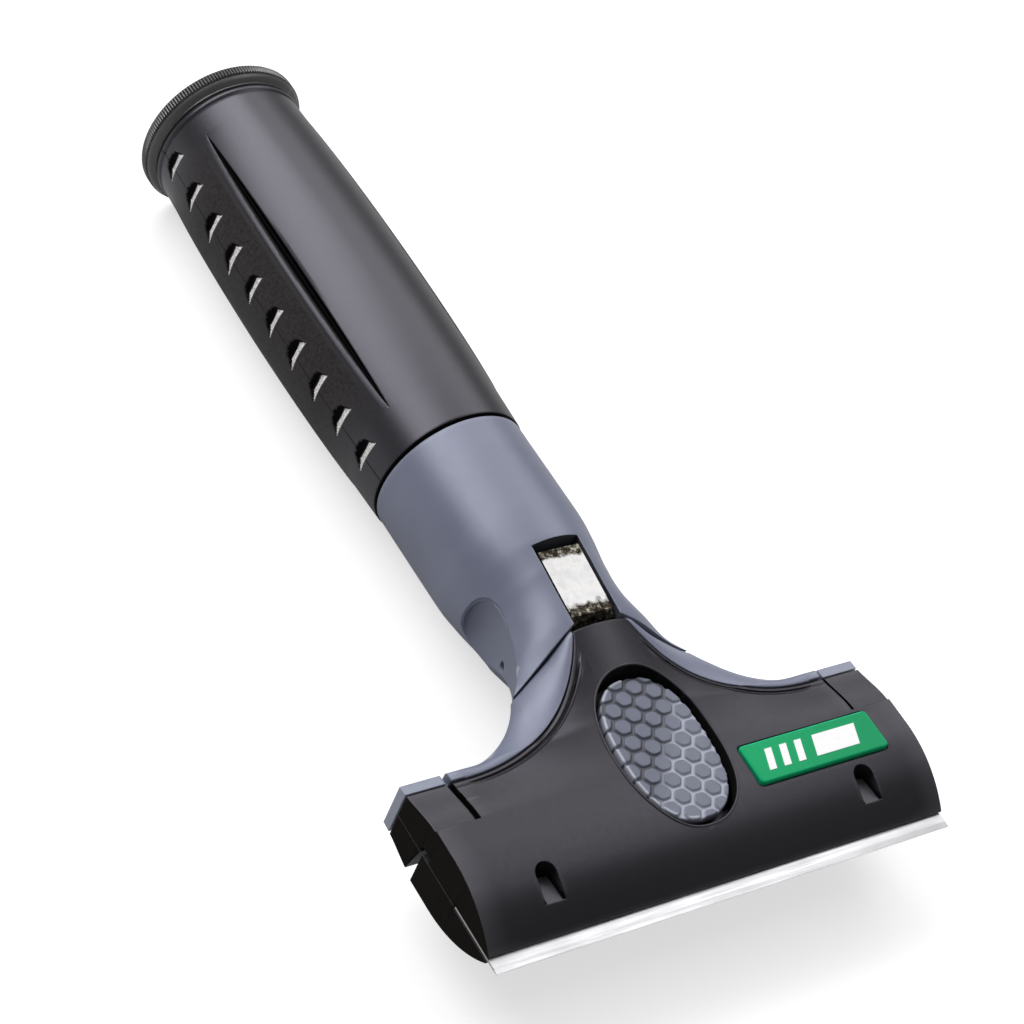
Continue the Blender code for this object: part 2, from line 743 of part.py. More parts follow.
def slot_outline(centre_x, grow=0.0):
    """U shape: square at the front, round at the rear."""
    half = SLOT_HALF_WIDTH + grow
    points = [(centre_x - half, SLOT_FRONT - grow), (centre_x + half, SLOT_FRONT - grow)]
    middle = SLOT_REAR - SLOT_HALF_WIDTH
    turns = [math.pi * k / SLOT_STEPS for k in range(SLOT_STEPS + 1)]
    points += [(centre_x + half * math.cos(turn), middle + half * math.sin(turn)) for turn in turns]
    return points


# Cutters and additions shared by more than one piece


def blade_pocket(name):
    return box(name, (-HEAD_WIDTH, -OVERRUN, -POCKET_HALF_HEIGHT),
               (HEAD_WIDTH, BLADE_DEPTH + GAP, POCKET_HALF_HEIGHT))


def block_cuts(piece, sign):
    """Sunken end blocks with a narrow slit along their inner side."""
    for side_name, side in (("left", -1), ("right", 1)):
        label = piece.name + ("_top_" if sign > 0 else "_under_") + side_name
        far = HEAD_HALF_WIDTH + OVERRUN
        rear = HEAD_REAR + OVERRUN
        step = side_box(label + "_step", side, BLOCK_X, far, (BLOCK_FRONT, rear),
                        span(sign * BLOCK_TOP, sign * (BLOCK_TOP + OVERRUN)))
        slit = side_box(label + "_slit", side, BLOCK_X, BLOCK_X + SLIT_WIDTH, (BLOCK_FRONT, rear),
                        span(sign * (BLOCK_TOP - SLIT_DEPTH), sign * (BLOCK_TOP + OVERRUN)))
        combine(piece, step)
        combine(piece, slit)


def screw_tools(name, radius, low, high):
    """Round tools at both screw places."""
    bm = bmesh.new()
    for side in (-1, 1):
        add_cylinder(bm, radius, (side * SCREW_X, SCREW_Y, low), (side * SCREW_X, SCREW_Y, high))
    return add_object(name, mesh_from(bm, name))


def boss_end():
    """Bosses end inside the thickness of the cover."""
    return top_height(SCREW_X + BOSS_RADIUS, SCREW_Y) - SHELL_WALL / 2


def inner_top(inset):
    def height(x, y):
        return top_height(x, y) - inset
    return height


def cavity(name, sign, front, inset_rear=SHELL_WALL):
    """Hollow of a cover, open towards the mid plane."""
    stations = cover_stations(0, CAVITY_HALF_WIDTH)
    tool = plate(name, stations, cover_rows(front, inset_rear, nose=False), -OVERRUN,
                 inner_top(SHELL_WALL))
    if sign < 0:
        tool.data.transform(Matrix.Diagonal((1, 1, -1, 1)))
        tool.data.flip_normals()
    return tool


# Pieces of the head


def build_upper_shell():
    shell = plate("upper_shell", cover_stations(), cover_rows(SHELL_FRONT), HALF_SEAM, top_height, BLACK)
    combine(shell, cavity("upper_cavity", 1, CAVITY_FRONT))
    web = box("upper_web_seat", (-CAVITY_HALF_WIDTH, WEB_FRONT - GAP, -OVERRUN),
              (CAVITY_HALF_WIDTH, JOINT_Y, WEB_HALF_THICKNESS + GAP))
    combine(shell, web)
    combine(shell, box("upper_apex_notch", (-SPINE_HALF_WIDTH - GAP, SPINE_FRONT - GAP, -OVERRUN),
                       (SPINE_HALF_WIDTH + GAP, JOINT_Y + OVERRUN, SPINE_HALF_HEIGHT + GAP)))
    combine(shell, box("leaf_notch", (-LEAF_HALF_WIDTH - GAP, APEX_NOTCH_FRONT, 0),
                       (LEAF_HALF_WIDTH + GAP, JOINT_Y + OVERRUN, APEX_NOTCH_TOP)))
    combine(shell, flat_solid("button_hole", oval(BUTTON_Y, HOLE_HALF_WIDTH, HOLE_HALF_LENGTH, HOLE_POWER),
                              HOLE_FLOOR, HOLE_FLOOR + NECK_RADIUS))
    combine(shell, badge_recess())
    combine(shell, blade_pocket("upper_blade_pocket"))
    block_cuts(shell, 1)
    for name, side in (("left", -1), ("right", 1)):
        centre = side * PEG_X
        slot = flat_solid("slot_" + name, slot_outline(centre), SLOT_FLOOR, SLOT_FLOOR + NECK_RADIUS)
        combine(shell, slot)
        join(shell, ramp("ramp_" + name, centre))
        combine(shell, side_box("lug_room_" + name, side, LUG_INNER_X - GAP, LUG_OUTER_X + GAP,
                                (HINGE_Y - KNUCKLE_RADIUS - GAP, HINGE_Y + KNUCKLE_RADIUS + GAP),
                                (-OVERRUN, HINGE_Z + KNUCKLE_RADIUS + GAP)))
        combine(shell, pin_tool("shell_pin_hole_" + name, side, GAP))
        notch_ends = (HINGE_Y - END_NOTCH_FRONT, HINGE_Y + END_NOTCH_REAR)
        combine(shell, side_box("end_notch_" + name, side, PIN_OUTER_X, HEAD_WIDTH, notch_ends,
                                (-OVERRUN, END_NOTCH_TOP)))
    join(shell, pegs("blade_pegs", PEG_RADIUS, -BLADE_THICKNESS / 2, POCKET_HALF_HEIGHT + GAP))
    join(shell, screw_tools("upper_bosses", BOSS_RADIUS, WEB_HALF_THICKNESS + 2 * GAP, boss_end()))
    combine(shell, screw_tools("upper_screw_holes", SCREW_RADIUS + GAP, 0, SCREW_TIP + GAP))
    return round_shading(shell)


def ramp(name, centre):
    """Sloping tongue in a slot, highest at the front."""
    top = nose_height(SLOT_FRONT) - RAMP_DROP
    low = SLOT_FLOOR - GAP
    outline = ((SLOT_FRONT - GAP, low), (RAMP_BACK, low), (RAMP_BACK, RAMP_LOW), (SLOT_FRONT, top),
               (SLOT_FRONT - GAP, top - GAP))
    return flat_solid(name, outline, centre - RAMP_HALF_WIDTH, centre + RAMP_HALF_WIDTH, side_view=True)


def pegs(name, radius, low, high):
    """Two pegs that the blade's rear notches slide around."""
    bm = bmesh.new()
    for side in (-1, 1):
        place = (side * PEG_X, BLADE_DEPTH - PEG_INSET)
        add_cylinder(bm, radius, (*place, low), (*place, high))
    return add_object(name, mesh_from(bm, name))


def pin_tool(name, side, grow=0.0, finish=None):
    start = (side * (PIN_INNER_X - grow), HINGE_Y, HINGE_Z)
    end = (side * (PIN_OUTER_X + grow), HINGE_Y, HINGE_Z)
    return cylinder(name, HINGE_PIN_RADIUS + grow, start, end, finish)


def badge_height():
    return top_height(0, BADGE_CENTRE_Y) + BADGE_PROUD


def badge_recess():
    grown = rounded_rectangle((BADGE_CENTRE_X, BADGE_CENTRE_Y), BADGE_HALF_LENGTH + GAP,
                              BADGE_HALF_WIDTH + GAP, BADGE_CORNER + GAP)
    floor = badge_height() - BADGE_THICKNESS - GAP
    return flat_solid("badge_recess", grown, floor, floor + NECK_RADIUS)


def build_badge():
    top = badge_height()
    centre = (BADGE_CENTRE_X, BADGE_CENTRE_Y)
    full = rounded_rectangle(centre, BADGE_HALF_LENGTH, BADGE_HALF_WIDTH, BADGE_CORNER)
    inner = rounded_rectangle(centre, BADGE_HALF_LENGTH - BADGE_BEVEL, BADGE_HALF_WIDTH - BADGE_BEVEL,
                              BADGE_CORNER - BADGE_BEVEL)
    rings = [[(x, y, top - BADGE_THICKNESS) for x, y in full], [(x, y, top - BADGE_BEVEL) for x, y in full],
             [(x, y, top) for x, y in inner]]
    return loft("badge_plate", rings, BADGE_GREEN, at=(*centre, top))


def build_lower_cover():
    rows = cover_rows(JAW_REAR, nose=False)
    cover = plate("lower_cover", cover_stations(), rows, HALF_SEAM, top_height, BLACK)
    cover.data.transform(Matrix.Diagonal((1, 1, -1, 1)))
    cover.data.flip_normals()
    combine(cover, cavity("lower_cavity", -1, JAW_REAR - OVERRUN))
    combine(cover, box("lower_web_seat", (-CAVITY_HALF_WIDTH, WEB_FRONT - GAP, -WEB_HALF_THICKNESS - GAP),
                       (CAVITY_HALF_WIDTH, JOINT_Y, OVERRUN)))
    half = SPINE_HALF_WIDTH + GAP
    combine(cover, box("lower_apex_notch", (-half, SPINE_FRONT - GAP, -SPINE_HALF_HEIGHT - GAP),
                       (half, JOINT_Y + OVERRUN, OVERRUN)))
    combine(cover, swing_relief())
    block_cuts(cover, -1)
    for name, side in (("left", -1), ("right", 1)):
        combine(cover, side_box("lower_lug_room_" + name, side, LUG_INNER_X - GAP, LUG_OUTER_X + GAP,
                                (JAW_REAR - OVERRUN, HINGE_Y + KNUCKLE_RADIUS + 2 * GAP),
                                (-KNUCKLE_RADIUS, OVERRUN)))
    join(cover, screw_tools("lower_bosses", BOSS_RADIUS, -boss_end(), -WEB_HALF_THICKNESS - 2 * GAP))
    combine(cover, screw_tools("lower_screw_holes", SCREW_RADIUS + GAP, -NECK_RADIUS, 0))
    recess_top = screw_head_top() + GAP
    combine(cover, screw_tools("screw_recesses", SCREW_HEAD_RADIUS + GAP, -NECK_RADIUS, recess_top))
    join(cover, cylinder("spring_seat", SPRING_SEAT_RADIUS, (0, SPRING_Y, SPRING_SEAT_Z),
                         (0, SPRING_Y, -HEAD_HALF_THICKNESS)))
    return round_shading(cover)


def swing_relief():
    """Slanting cut that the jaw's rear edge swings into."""
    slope = math.tan(JAW_OPEN)
    start = JAW_REAR + SEAM
    deep = NECK_RADIUS
    outline = ((start - OVERRUN, OVERRUN), (start - OVERRUN, -deep),
               (start + slope * (HINGE_Z + deep), -deep), (start, HINGE_Z), (start, OVERRUN))
    return flat_solid("swing_relief", outline, -HEAD_WIDTH, HEAD_WIDTH, side_view=True)


def build_jaw():
    jaw = plate("lower_jaw", cover_stations(), jaw_rows, HALF_SEAM, top_height, BLACK)
    jaw.data.transform(Matrix.Diagonal((1, 1, -1, 1)))
    jaw.data.flip_normals()
    hollow = plate("jaw_cavity", mirrored([0, CAVITY_HALF_WIDTH / 2, CAVITY_HALF_WIDTH]),
                   lambda x: (CAVITY_FRONT, NOSE_END, JAW_REAR + OVERRUN), -OVERRUN,
                   lambda x, y: nose_height(y) - SHELL_WALL)
    hollow.data.transform(Matrix.Diagonal((1, 1, -1, 1)))
    hollow.data.flip_normals()
    combine(jaw, hollow)
    floor = -HEAD_HALF_THICKNESS + SHELL_WALL - GAP
    join(jaw, box("anvil", (-PLUNGER_HALF_WIDTH - ANVIL_MARGIN, CAVITY_FRONT - GAP, floor),
                  (PLUNGER_HALF_WIDTH + ANVIL_MARGIN, PLUNGER_REAR + ANVIL_MARGIN, ANVIL_TOP)))
    for name, side in (("left", -1), ("right", 1)):
        join(jaw, tail("tail_" + name, side))
        low, high = span(side * (JAW_RIB_X - RIB_HALF_WIDTH), side * (JAW_RIB_X + RIB_HALF_WIDTH))
        join(jaw, box("jaw_rib_" + name, (low, CAVITY_FRONT - GAP, floor),
                      (high, JAW_REAR - GAP, JAW_RIB_TOP)))
        join(jaw, knuckle("knuckle_" + name, side))
    combine(jaw, blade_pocket("jaw_blade_pocket"))
    combine(jaw, pegs("peg_room", PEG_RADIUS + GAP, -POCKET_HALF_HEIGHT - 2 * GAP, OVERRUN))
    for name, side in (("left", -1), ("right", 1)):
        combine(jaw, pin_tool("jaw_pin_hole_" + name, side, GAP))
    jaw.data.transform(Matrix.Translation((0, -HINGE_Y, -HINGE_Z)))
    jaw.location = (0, HINGE_Y, HINGE_Z)
    return round_shading(jaw)


def jaw_rows(x):
    turn = math.asin((NOSE_END - SHELL_FRONT) / NOSE_RADIUS)
    nose = [NOSE_END - NOSE_RADIUS * math.sin(turn * (1 - k / NOSE_ROWS)) for k in range(NOSE_ROWS + 1)]
    return nose + [JAW_REAR]


def tail(name, side):
    """Arm behind the hinge that the jaw spring pushes down."""
    floor = -HEAD_HALF_THICKNESS + SHELL_WALL - GAP
    low, high = span(side * (TAIL_X - TAIL_HALF_WIDTH), side * (TAIL_X + TAIL_HALF_WIDTH))
    under = TAIL_TOP - TAIL_THICKNESS
    outline = ((TAIL_ROOT, floor), (JAW_REAR - GAP, floor), (JAW_REAR + GAP, under), (TAIL_END, under),
               (TAIL_END, TAIL_TOP), (TAIL_ROOT, TAIL_TOP))
    return flat_solid(name, outline, low, high, side_view=True)


def knuckle(name, side):
    """Lug that carries the jaw on its hinge pin."""
    low, high = span(side * LUG_INNER_X, side * LUG_OUTER_X)
    turns = [math.pi * k / LUG_STEPS for k in range(LUG_STEPS + 1)]
    outline = [(HINGE_Y + KNUCKLE_RADIUS * math.cos(turn), HINGE_Z + KNUCKLE_RADIUS * math.sin(turn))
               for turn in turns]
    foot = -HALF_SEAM - 2 * GAP
    outline += [(HINGE_Y - KNUCKLE_RADIUS, foot), (JAW_REAR - GAP, foot), (JAW_REAR - GAP, 0)]
    return flat_solid(name, outline, low, high, side_view=True)


def build_frame():
    frame = plate("head_frame", frame_stations(), frame_rows, lambda x, y: -frame_top(x, y), frame_top,
                  BLUE_GREY)
    for name, sign in (("upper_pocket", 1), ("lower_pocket", -1)):
        low, high = WEB_HALF_THICKNESS, NECK_RADIUS + OVERRUN
        rows = cover_rows(WEB_FRONT - OVERRUN, -GAP, nose=False)
        pocket = plate(name, cover_stations(-OVERRUN), rows, low, lambda x, y, high=high: high)
        if sign < 0:
            pocket.data.transform(Matrix.Diagonal((1, 1, -1, 1)))
            pocket.data.flip_normals()
        combine(frame, pocket)
    thin = APEX_HALF_WIDTH + GAP
    combine(frame, box("apex_gap", (-thin, APEX_Y - OVERRUN, -NECK_RADIUS - OVERRUN),
                       (thin, JOINT_Y + OVERRUN, NECK_RADIUS + OVERRUN)))
    for name, side in (("left", -1), ("right", 1)):
        combine(frame, corner_scoop("frame_scoop_" + name, side))
    join(frame, box("spine", (-SPINE_HALF_WIDTH, SPINE_FRONT, -SPINE_HALF_HEIGHT),
                    (SPINE_HALF_WIDTH, TENON_END, SPINE_HALF_HEIGHT)))
    block_cuts(frame, 1)
    block_cuts(frame, -1)
    combine(frame, cylinder("frame_spring_hole", SPRING_HOLE_RADIUS, (0, SPRING_Y, -OVERRUN),
                            (0, SPRING_Y, OVERRUN)))
    combine(frame, screw_tools("frame_screw_holes", SCREW_RADIUS + GAP, -OVERRUN, OVERRUN))
    combine(frame, tenon_pin_tool("frame_pin_hole", GAP))
    hole_floor = SPINE_HALF_HEIGHT - RIVET_DEPTH - GAP
    combine(frame, cylinder("rivet_hole", RIVET_RADIUS + GAP, (0, rivet_y(), hole_floor),
                            (0, rivet_y(), SPINE_HALF_HEIGHT + OVERRUN)))
    return round_shading(frame)


def tenon_pin_tool(name, grow=0.0, finish=None):
    reach = TENON_PIN_HALF_LENGTH + (OVERRUN if grow else 0)
    at = (0, TENON_PIN_Y, TENON_PIN_Z) if finish else (0, 0, 0)
    start = (-reach, TENON_PIN_Y, TENON_PIN_Z)
    end = (reach, TENON_PIN_Y, TENON_PIN_Z)
    return cylinder(name, TENON_PIN_RADIUS + grow, start, end, finish, at)


def rivet_y():
    return (LEAF_FOOT_Y + LEAF_BEND_Y) / 2


# Blade, springs, button and fasteners


def build_blade():
    half = BLADE_LENGTH / 2
    rear = BLADE_DEPTH
    outline = [(-half, 0), (half, 0), (half, rear)]
    for side in (1, -1):
        centre, reach = side * PEG_X, PEG_RADIUS + GAP
        bottom = BLADE_DEPTH - PEG_INSET
        turns = [math.pi * k / PEG_NOTCH_STEPS for k in range(PEG_NOTCH_STEPS + 1)]
        outline.append((centre + reach, rear))
        outline += [(centre + reach * math.cos(turn), bottom - reach * math.sin(turn)) for turn in turns]
        outline.append((centre - reach, rear))
    outline.append((-half, rear))
    blade = flat_solid("blade", outline, -BLADE_THICKNESS / 2, BLADE_THICKNESS / 2, STEEL, at=(0, 0, 0))
    for name, sign in (("upper", 1), ("lower", -1)):
        start = sign * BLADE_TIP / 2
        side = sign * (BLADE_THICKNESS / 2 + WELD)
        wedge = ((-OVERRUN, start), (0, start), (BLADE_BEVEL, side), (BLADE_BEVEL, side * 2),
                 (-OVERRUN, side * 2))
        combine(blade, flat_solid("edge_bevel_" + name, wedge, -HEAD_WIDTH, HEAD_WIDTH, side_view=True))
    return blade


def build_leaf():
    foot = SPINE_HALF_HEIGHT + GAP
    under = ((LEAF_FOOT_Y, foot), (LEAF_BEND_Y, foot), (LEAF_RISE_Y, LEAF_RISE_Z), (LEAF_TIP_Y, LEAF_TIP_Z))
    outline = list(under) + [(y, z + LEAF_THICKNESS) for y, z in reversed(under)]
    leaf = flat_solid("leaf_spring", outline, -LEAF_HALF_WIDTH, LEAF_HALF_WIDTH, SPRING_STEEL,
                      side_view=True)
    combine(leaf, cylinder("leaf_hole", RIVET_RADIUS + GAP, (0, rivet_y(), 0), (0, rivet_y(), NECK_RADIUS)))
    return leaf


def build_rivet():
    """Rivet with a low round head."""
    under = SPINE_HALF_HEIGHT + 2 * GAP + LEAF_THICKNESS
    foot = SPINE_HALF_HEIGHT - RIVET_DEPTH - under
    shoulder = (RIVET_HEAD_RADIUS * math.sin(math.pi / 4), RIVET_HEAD_HEIGHT * RIVET_SHOULDER_SHARE)
    profile = [(0, RIVET_HEAD_HEIGHT), shoulder, (RIVET_HEAD_RADIUS, 0), (RIVET_RADIUS, 0),
               (RIVET_RADIUS, foot), (0, foot)]
    return turned("leaf_rivet", profile, SPRING_STEEL, (0, rivet_y(), under), ROUND_STEPS)


def turned(name, profile, finish, at, steps, along_y=False):
    """Turn a profile of (radius, height) points, listed from the top down."""
    mesh = bpy.data.meshes.new(name)
    edges = [(k, k + 1) for k in range(len(profile) - 1)]
    mesh.from_pydata([(radius, 0, height) for radius, height in profile], edges, [])
    obj = add_object(name, mesh, finish)
    obj.location = at
    if along_y:
        obj.rotation_euler = (-math.pi / 2, 0, 0)
    screw = obj.modifiers.new("turn", "SCREW")
    screw.axis = "Z"
    screw.steps = steps
    screw.render_steps = steps
    screw.use_merge_vertices = True
    screw.merge_threshold = WELD
    screw.use_smooth_shade = True
    return obj


def build_screws():
    for name, side in (("left", -1), ("right", 1)):
        top = SCREW_TIP - screw_head_top()
        profile = [(0, top), (SCREW_RADIUS / 2, top), (SCREW_RADIUS, top - SCREW_RADIUS), (SCREW_RADIUS, 0),
                   (SCREW_HEAD_RADIUS, 0), (SCREW_HEAD_RADIUS, -SCREW_HEAD_HEIGHT + GAP),
                   (SCREW_HEAD_RADIUS - GAP, -SCREW_HEAD_HEIGHT), (0, -SCREW_HEAD_HEIGHT)]
        at = (side * SCREW_X, SCREW_Y, screw_head_top())
        turned("cover_screw_" + name, profile, SPRING_STEEL, at, ROUND_STEPS)


def screw_head_top():
    return SCREW_RECESS + SCREW_HEAD_HEIGHT - top_height(SCREW_X, SCREW_Y)


def coil(name, centre, low, high, radius, wire, turns):
    """Compression spring with flat-lying end turns."""
    curve = bpy.data.curves.new(name, "CURVE")
    curve.dimensions = "3D"
    curve.bevel_depth = wire / 2
    curve.bevel_resolution = WIRE_SIDES
    curve.use_fill_caps = True
    count = turns * POINTS_PER_TURN
    spline = curve.splines.new("POLY")
    spline.points.add(count)
    for k, point in enumerate(spline.points):
        angle = math.tau * k / POINTS_PER_TURN
        climb = smooth(k / count) * COIL_EASE_SHARE + k / count * (1 - COIL_EASE_SHARE)
        height = low + wire / 2 + (high - low - wire) * climb
        point.co = (radius * math.cos(angle), radius * math.sin(angle), height, 1)
    source = bpy.data.objects.new(name + "_path", curve)
    PARTS.objects.link(source)
    mesh = mesh_of_curve(source, name)
    mesh.transform(Matrix.Translation((*centre, 0)))
    return add_object(name, mesh, SPRING_STEEL, at=(*centre, low))


def build_springs():
    top = STEM_TOP - STEM_THICKNESS - GAP
    coil("button_spring", (0, SPRING_Y), SPRING_SEAT_Z + GAP, top, SPRING_RADIUS, SPRING_WIRE, SPRING_TURNS)
    roof = top_height(TAIL_X, JAW_SPRING_Y + JAW_SPRING_RADIUS) - SHELL_WALL - GAP
    for name, side in (("left", -1), ("right", 1)):
        coil("jaw_spring_" + name, (side * TAIL_X, JAW_SPRING_Y), TAIL_TOP + GAP, roof, JAW_SPRING_RADIUS,
             JAW_SPRING_WIRE, JAW_SPRING_TURNS)


def build_stem():
    stem = flat_solid("button_stem", oval(STEM_Y, STEM_HALF_WIDTH, STEM_HALF_LENGTH, PAD_POWER),
                      STEM_TOP - STEM_THICKNESS, STEM_TOP, BLACK, at=(0, 0, 0))
    join(stem, box("plunger", (-PLUNGER_HALF_WIDTH, PLUNGER_FRONT, ANVIL_TOP + GAP),
                   (PLUNGER_HALF_WIDTH, PLUNGER_REAR, STEM_TOP - GAP)))
    return stem


def pad_height(y):
    """The pad slopes: it is higher at the rear than at the front."""
    share = (y - (BUTTON_Y - PAD_HALF_LENGTH)) / (2 * PAD_HALF_LENGTH)
    return PAD_FRONT_HEIGHT + (PAD_REAR_HEIGHT - PAD_FRONT_HEIGHT) * share


def pad_ring(inset, drop):
    ring = oval(BUTTON_Y, PAD_HALF_WIDTH - inset, PAD_HALF_LENGTH - inset, PAD_POWER)
    return [(x, y, pad_height(y) - drop) for x, y in ring]


def build_pad():
    bottom = [(x, y, PAD_BOTTOM) for x, y, _ in pad_ring(0, 0)]
    rings = [bottom, pad_ring(0, PAD_EDGE), pad_ring(PAD_EDGE, 0), pad_ring(PAD_RIM_WIDTH, 0),
             pad_ring(PAD_RIM_WIDTH + PAD_RIM_HEIGHT / 2, PAD_RIM_HEIGHT)]
    pad = loft("button_pad", rings, PAD_GREY, at=(0, 0, 0))
    cells = honeycomb()
    inner = oval(BUTTON_Y, PAD_HALF_WIDTH - PAD_RIM_WIDTH - CELL_GROOVE / 2,
                 PAD_HALF_LENGTH - PAD_RIM_WIDTH - CELL_GROOVE / 2, PAD_POWER)
    combine(cells, flat_solid("cell_limit", inner, PAD_BOTTOM, PAD_REAR_HEIGHT + OVERRUN), "INTERSECT")
    join(pad, cells)
    return pad


def honeycomb():
    """Field of raised six-sided cells in columns along Y."""
    bm = bmesh.new()
    column_step = CELL_PITCH * math.sqrt(3) / 2
    low_radius = (CELL_PITCH - CELL_GROOVE) / math.sqrt(3)
    half_columns = int(HOLE_HALF_WIDTH / column_step) + 1
    half_rows = int(HOLE_HALF_LENGTH / CELL_PITCH) + 1
    for column in range(-half_columns, half_columns + 1):
        for row in range(-half_rows, half_rows + 1):
            x = column * column_step
            y = BUTTON_Y + (row + (column % 2) / 2) * CELL_PITCH
            base = pad_height(y) - PAD_RIM_HEIGHT
            place = Matrix.Translation((x, y, base)) @ Matrix.Rotation(math.pi / 2, 4, "Z")
            bmesh.ops.create_cone(bm, cap_ends=True, segments=6, radius1=low_radius + CELL_SLOPE,
                                  radius2=low_radius - CELL_SLOPE, depth=2 * CELL_RISE, matrix=place)
    return add_object("honeycomb_cells", mesh_from(bm, "honeycomb_cells"))


# Handle


def section(y):
    """Ring around the neck at one place along the tool."""
    proud = 1 + NECK_PROUD_SHARE * (1 - smooth((y - JOINT_SIDE_Y) / (WAIST_Y - JOINT_SIDE_Y)))
    width = half_width(y)
    ring = []
    for k in range(SECTION_POINTS):
        angle = math.tau * (k + 0.5) / SECTION_POINTS
        x = width * math.cos(angle)
        ring.append((x * proud, y, math.copysign(top_height(x, y), math.sin(angle)) * proud))
    return ring


def circle(radius, y):
    angles = [math.tau * (k + 0.5) / SECTION_POINTS for k in range(SECTION_POINTS)]
    return [(radius * math.cos(a), y, radius * math.sin(a)) for a in angles]


def build_neck():
    start = JOINT_SIDE_Y - WAIST_HALF_WIDTH / 4
    shoulder = GRIP_START - GAP
    rings = [section(start + (shoulder - start) * k / NECK_ROWS) for k in range(NECK_ROWS + 1)]
    rings += [circle(TUBE_RADIUS, shoulder), circle(TUBE_RADIUS, RING_END - GAP)]
    neck = loft("neck_body", rings, BLUE_GREY)
    combine(neck, joint_tool())
    combine(neck, socket_tool())
    combine(neck, box("tenon_pocket", (-SPINE_HALF_WIDTH - GAP, start - OVERRUN, -SPINE_HALF_HEIGHT - GAP),
                      (SPINE_HALF_WIDTH + GAP, TENON_END + GAP, SPINE_HALF_HEIGHT + GAP)))
    combine(neck, box("window", (-WINDOW_HALF_WIDTH, start - OVERRUN, SPINE_HALF_HEIGHT),
                      (WINDOW_HALF_WIDTH, WINDOW_END, NECK_RADIUS + OVERRUN)))
    combine(neck, tenon_pin_tool("neck_pin_hole", GAP))
    for name, side in (("left", -1), ("right", 1)):
        combine(neck, thumb_hollow("thumb_hollow_" + name, side))
        combine(neck, corner_scoop("neck_scoop_" + name, side))
    return round_shading(neck)


def joint_tool():
    """Everything in front of the line where the neck ends."""
    far = HEAD_HALF_WIDTH
    front = SHELL_FRONT
    shift = GAP / 2
    outline = [(-far, front), (far, front), (far, joint_y(far) + shift), (JOINT_HALF_FLAT, JOINT_Y + shift),
               (-JOINT_HALF_FLAT, JOINT_Y + shift), (-far, joint_y(far) + shift)]
    return flat_solid("joint_tool", outline, -NECK_RADIUS - OVERRUN, NECK_RADIUS + OVERRUN)


def socket_tool():
    """Tapered pole socket, narrower where it enters the neck."""
    rings = [circle(SOCKET_TIP_RADIUS, SOCKET_END), circle(SOCKET_TIP_RADIUS, GRIP_START),
             circle(SOCKET_STEP_RADIUS, GRIP_START + SOCKET_STEP_RADIUS - SOCKET_TIP_RADIUS),
             circle(SOCKET_MOUTH_RADIUS, RING_END), circle(SOCKET_MOUTH_RADIUS, RING_END + OVERRUN)]
    return loft("pole_socket", rings)


def thumb_hollow(name, side):
    """Shallow hollow scooped from the neck's side by an egg shape."""
    bm = bmesh.new()
    bmesh.ops.create_uvsphere(bm, u_segments=44, v_segments=14, radius=1)
    bmesh.ops.scale(bm, vec=(HOLLOW_HALF_WIDTH, HOLLOW_HALF_LENGTH, HOLLOW_HALF_HEIGHT), verts=bm.verts)
    x = side * (half_width(HOLLOW_Y) + HOLLOW_HALF_WIDTH - HOLLOW_DEPTH)
    bmesh.ops.translate(bm, vec=(x, HOLLOW_Y, HOLLOW_Z), verts=bm.verts)
    return add_object(name, mesh_from(bm, name))


def corner_scoop(name, side):
    """Slanting round tool that thins the corner below the mid plane."""
    rings = []
    for z in (NECK_RADIUS, -NECK_RADIUS):
        middle = side * (SCOOP_X - SCOOP_SLANT * (SCOOP_TOP - z))
        rings.append([(middle + x, SCOOP_Y + y, z) for x, _, y in circle(SCOOP_RADIUS, 0)])
    return loft(name, rings)


def build_grip():
    length = GRIP_END - GRIP_START
    inner = TUBE_RADIUS + GAP
    outer = [(grip_radius(GRIP_END - length * k / GRIP_ROWS), length - length * k / GRIP_ROWS)
             for k in range(GRIP_ROWS + 1)]
    outer[0] = (GRIP_END_RADIUS, length - GRIP_EDGE_ROUND)
    outer[-1] = (GRIP_END_RADIUS, GRIP_EDGE_ROUND)
    profile = [(inner, length), (GRIP_END_RADIUS - GRIP_EDGE_ROUND, length)] + outer
    profile += [(GRIP_END_RADIUS - GRIP_EDGE_ROUND, 0), (inner, 0), (inner, length)]
    grip = turned("grip_sleeve", profile, GRIP_BLACK, (0, GRIP_START, 0), HANDLE_STEPS, along_y=True)
    combine(grip, grip_notches())
    combine(grip, panel_lines())
    return grip


def grip_notches():
    """Ten slanting lens-shaped notches along each side."""
    bm = bmesh.new()
    drop = NOTCH_DEPTH
    radius = (NOTCH_HALF_LENGTH ** 2 + drop ** 2) / (2 * drop)
    for side in (-1, 1):
        for k in range(NOTCH_COUNT):
            y = NOTCH_FIRST + NOTCH_PITCH * k
            x = side * (grip_radius(y) + radius - drop)
            tilt = Matrix.Rotation(-side * NOTCH_SLANT, 4, "X")
            lens = bmesh.ops.create_cone(bm, cap_ends=True, segments=ROUND_STEPS, radius1=radius,
                                         radius2=radius, depth=NOTCH_WIDTH)
            verts = lens["verts"]
            for vert in verts:
                depth_share = (radius - vert.co.xy.length) / radius
                vert.co.z *= 1 + depth_share
            place = Matrix.Translation((x, y, 0)) @ tilt @ Matrix.Rotation(math.pi / 2, 4, "X")
            bmesh.ops.transform(bm, matrix=place, verts=verts)
    return add_object("grip_notches", mesh_from(bm, "grip_notches"))


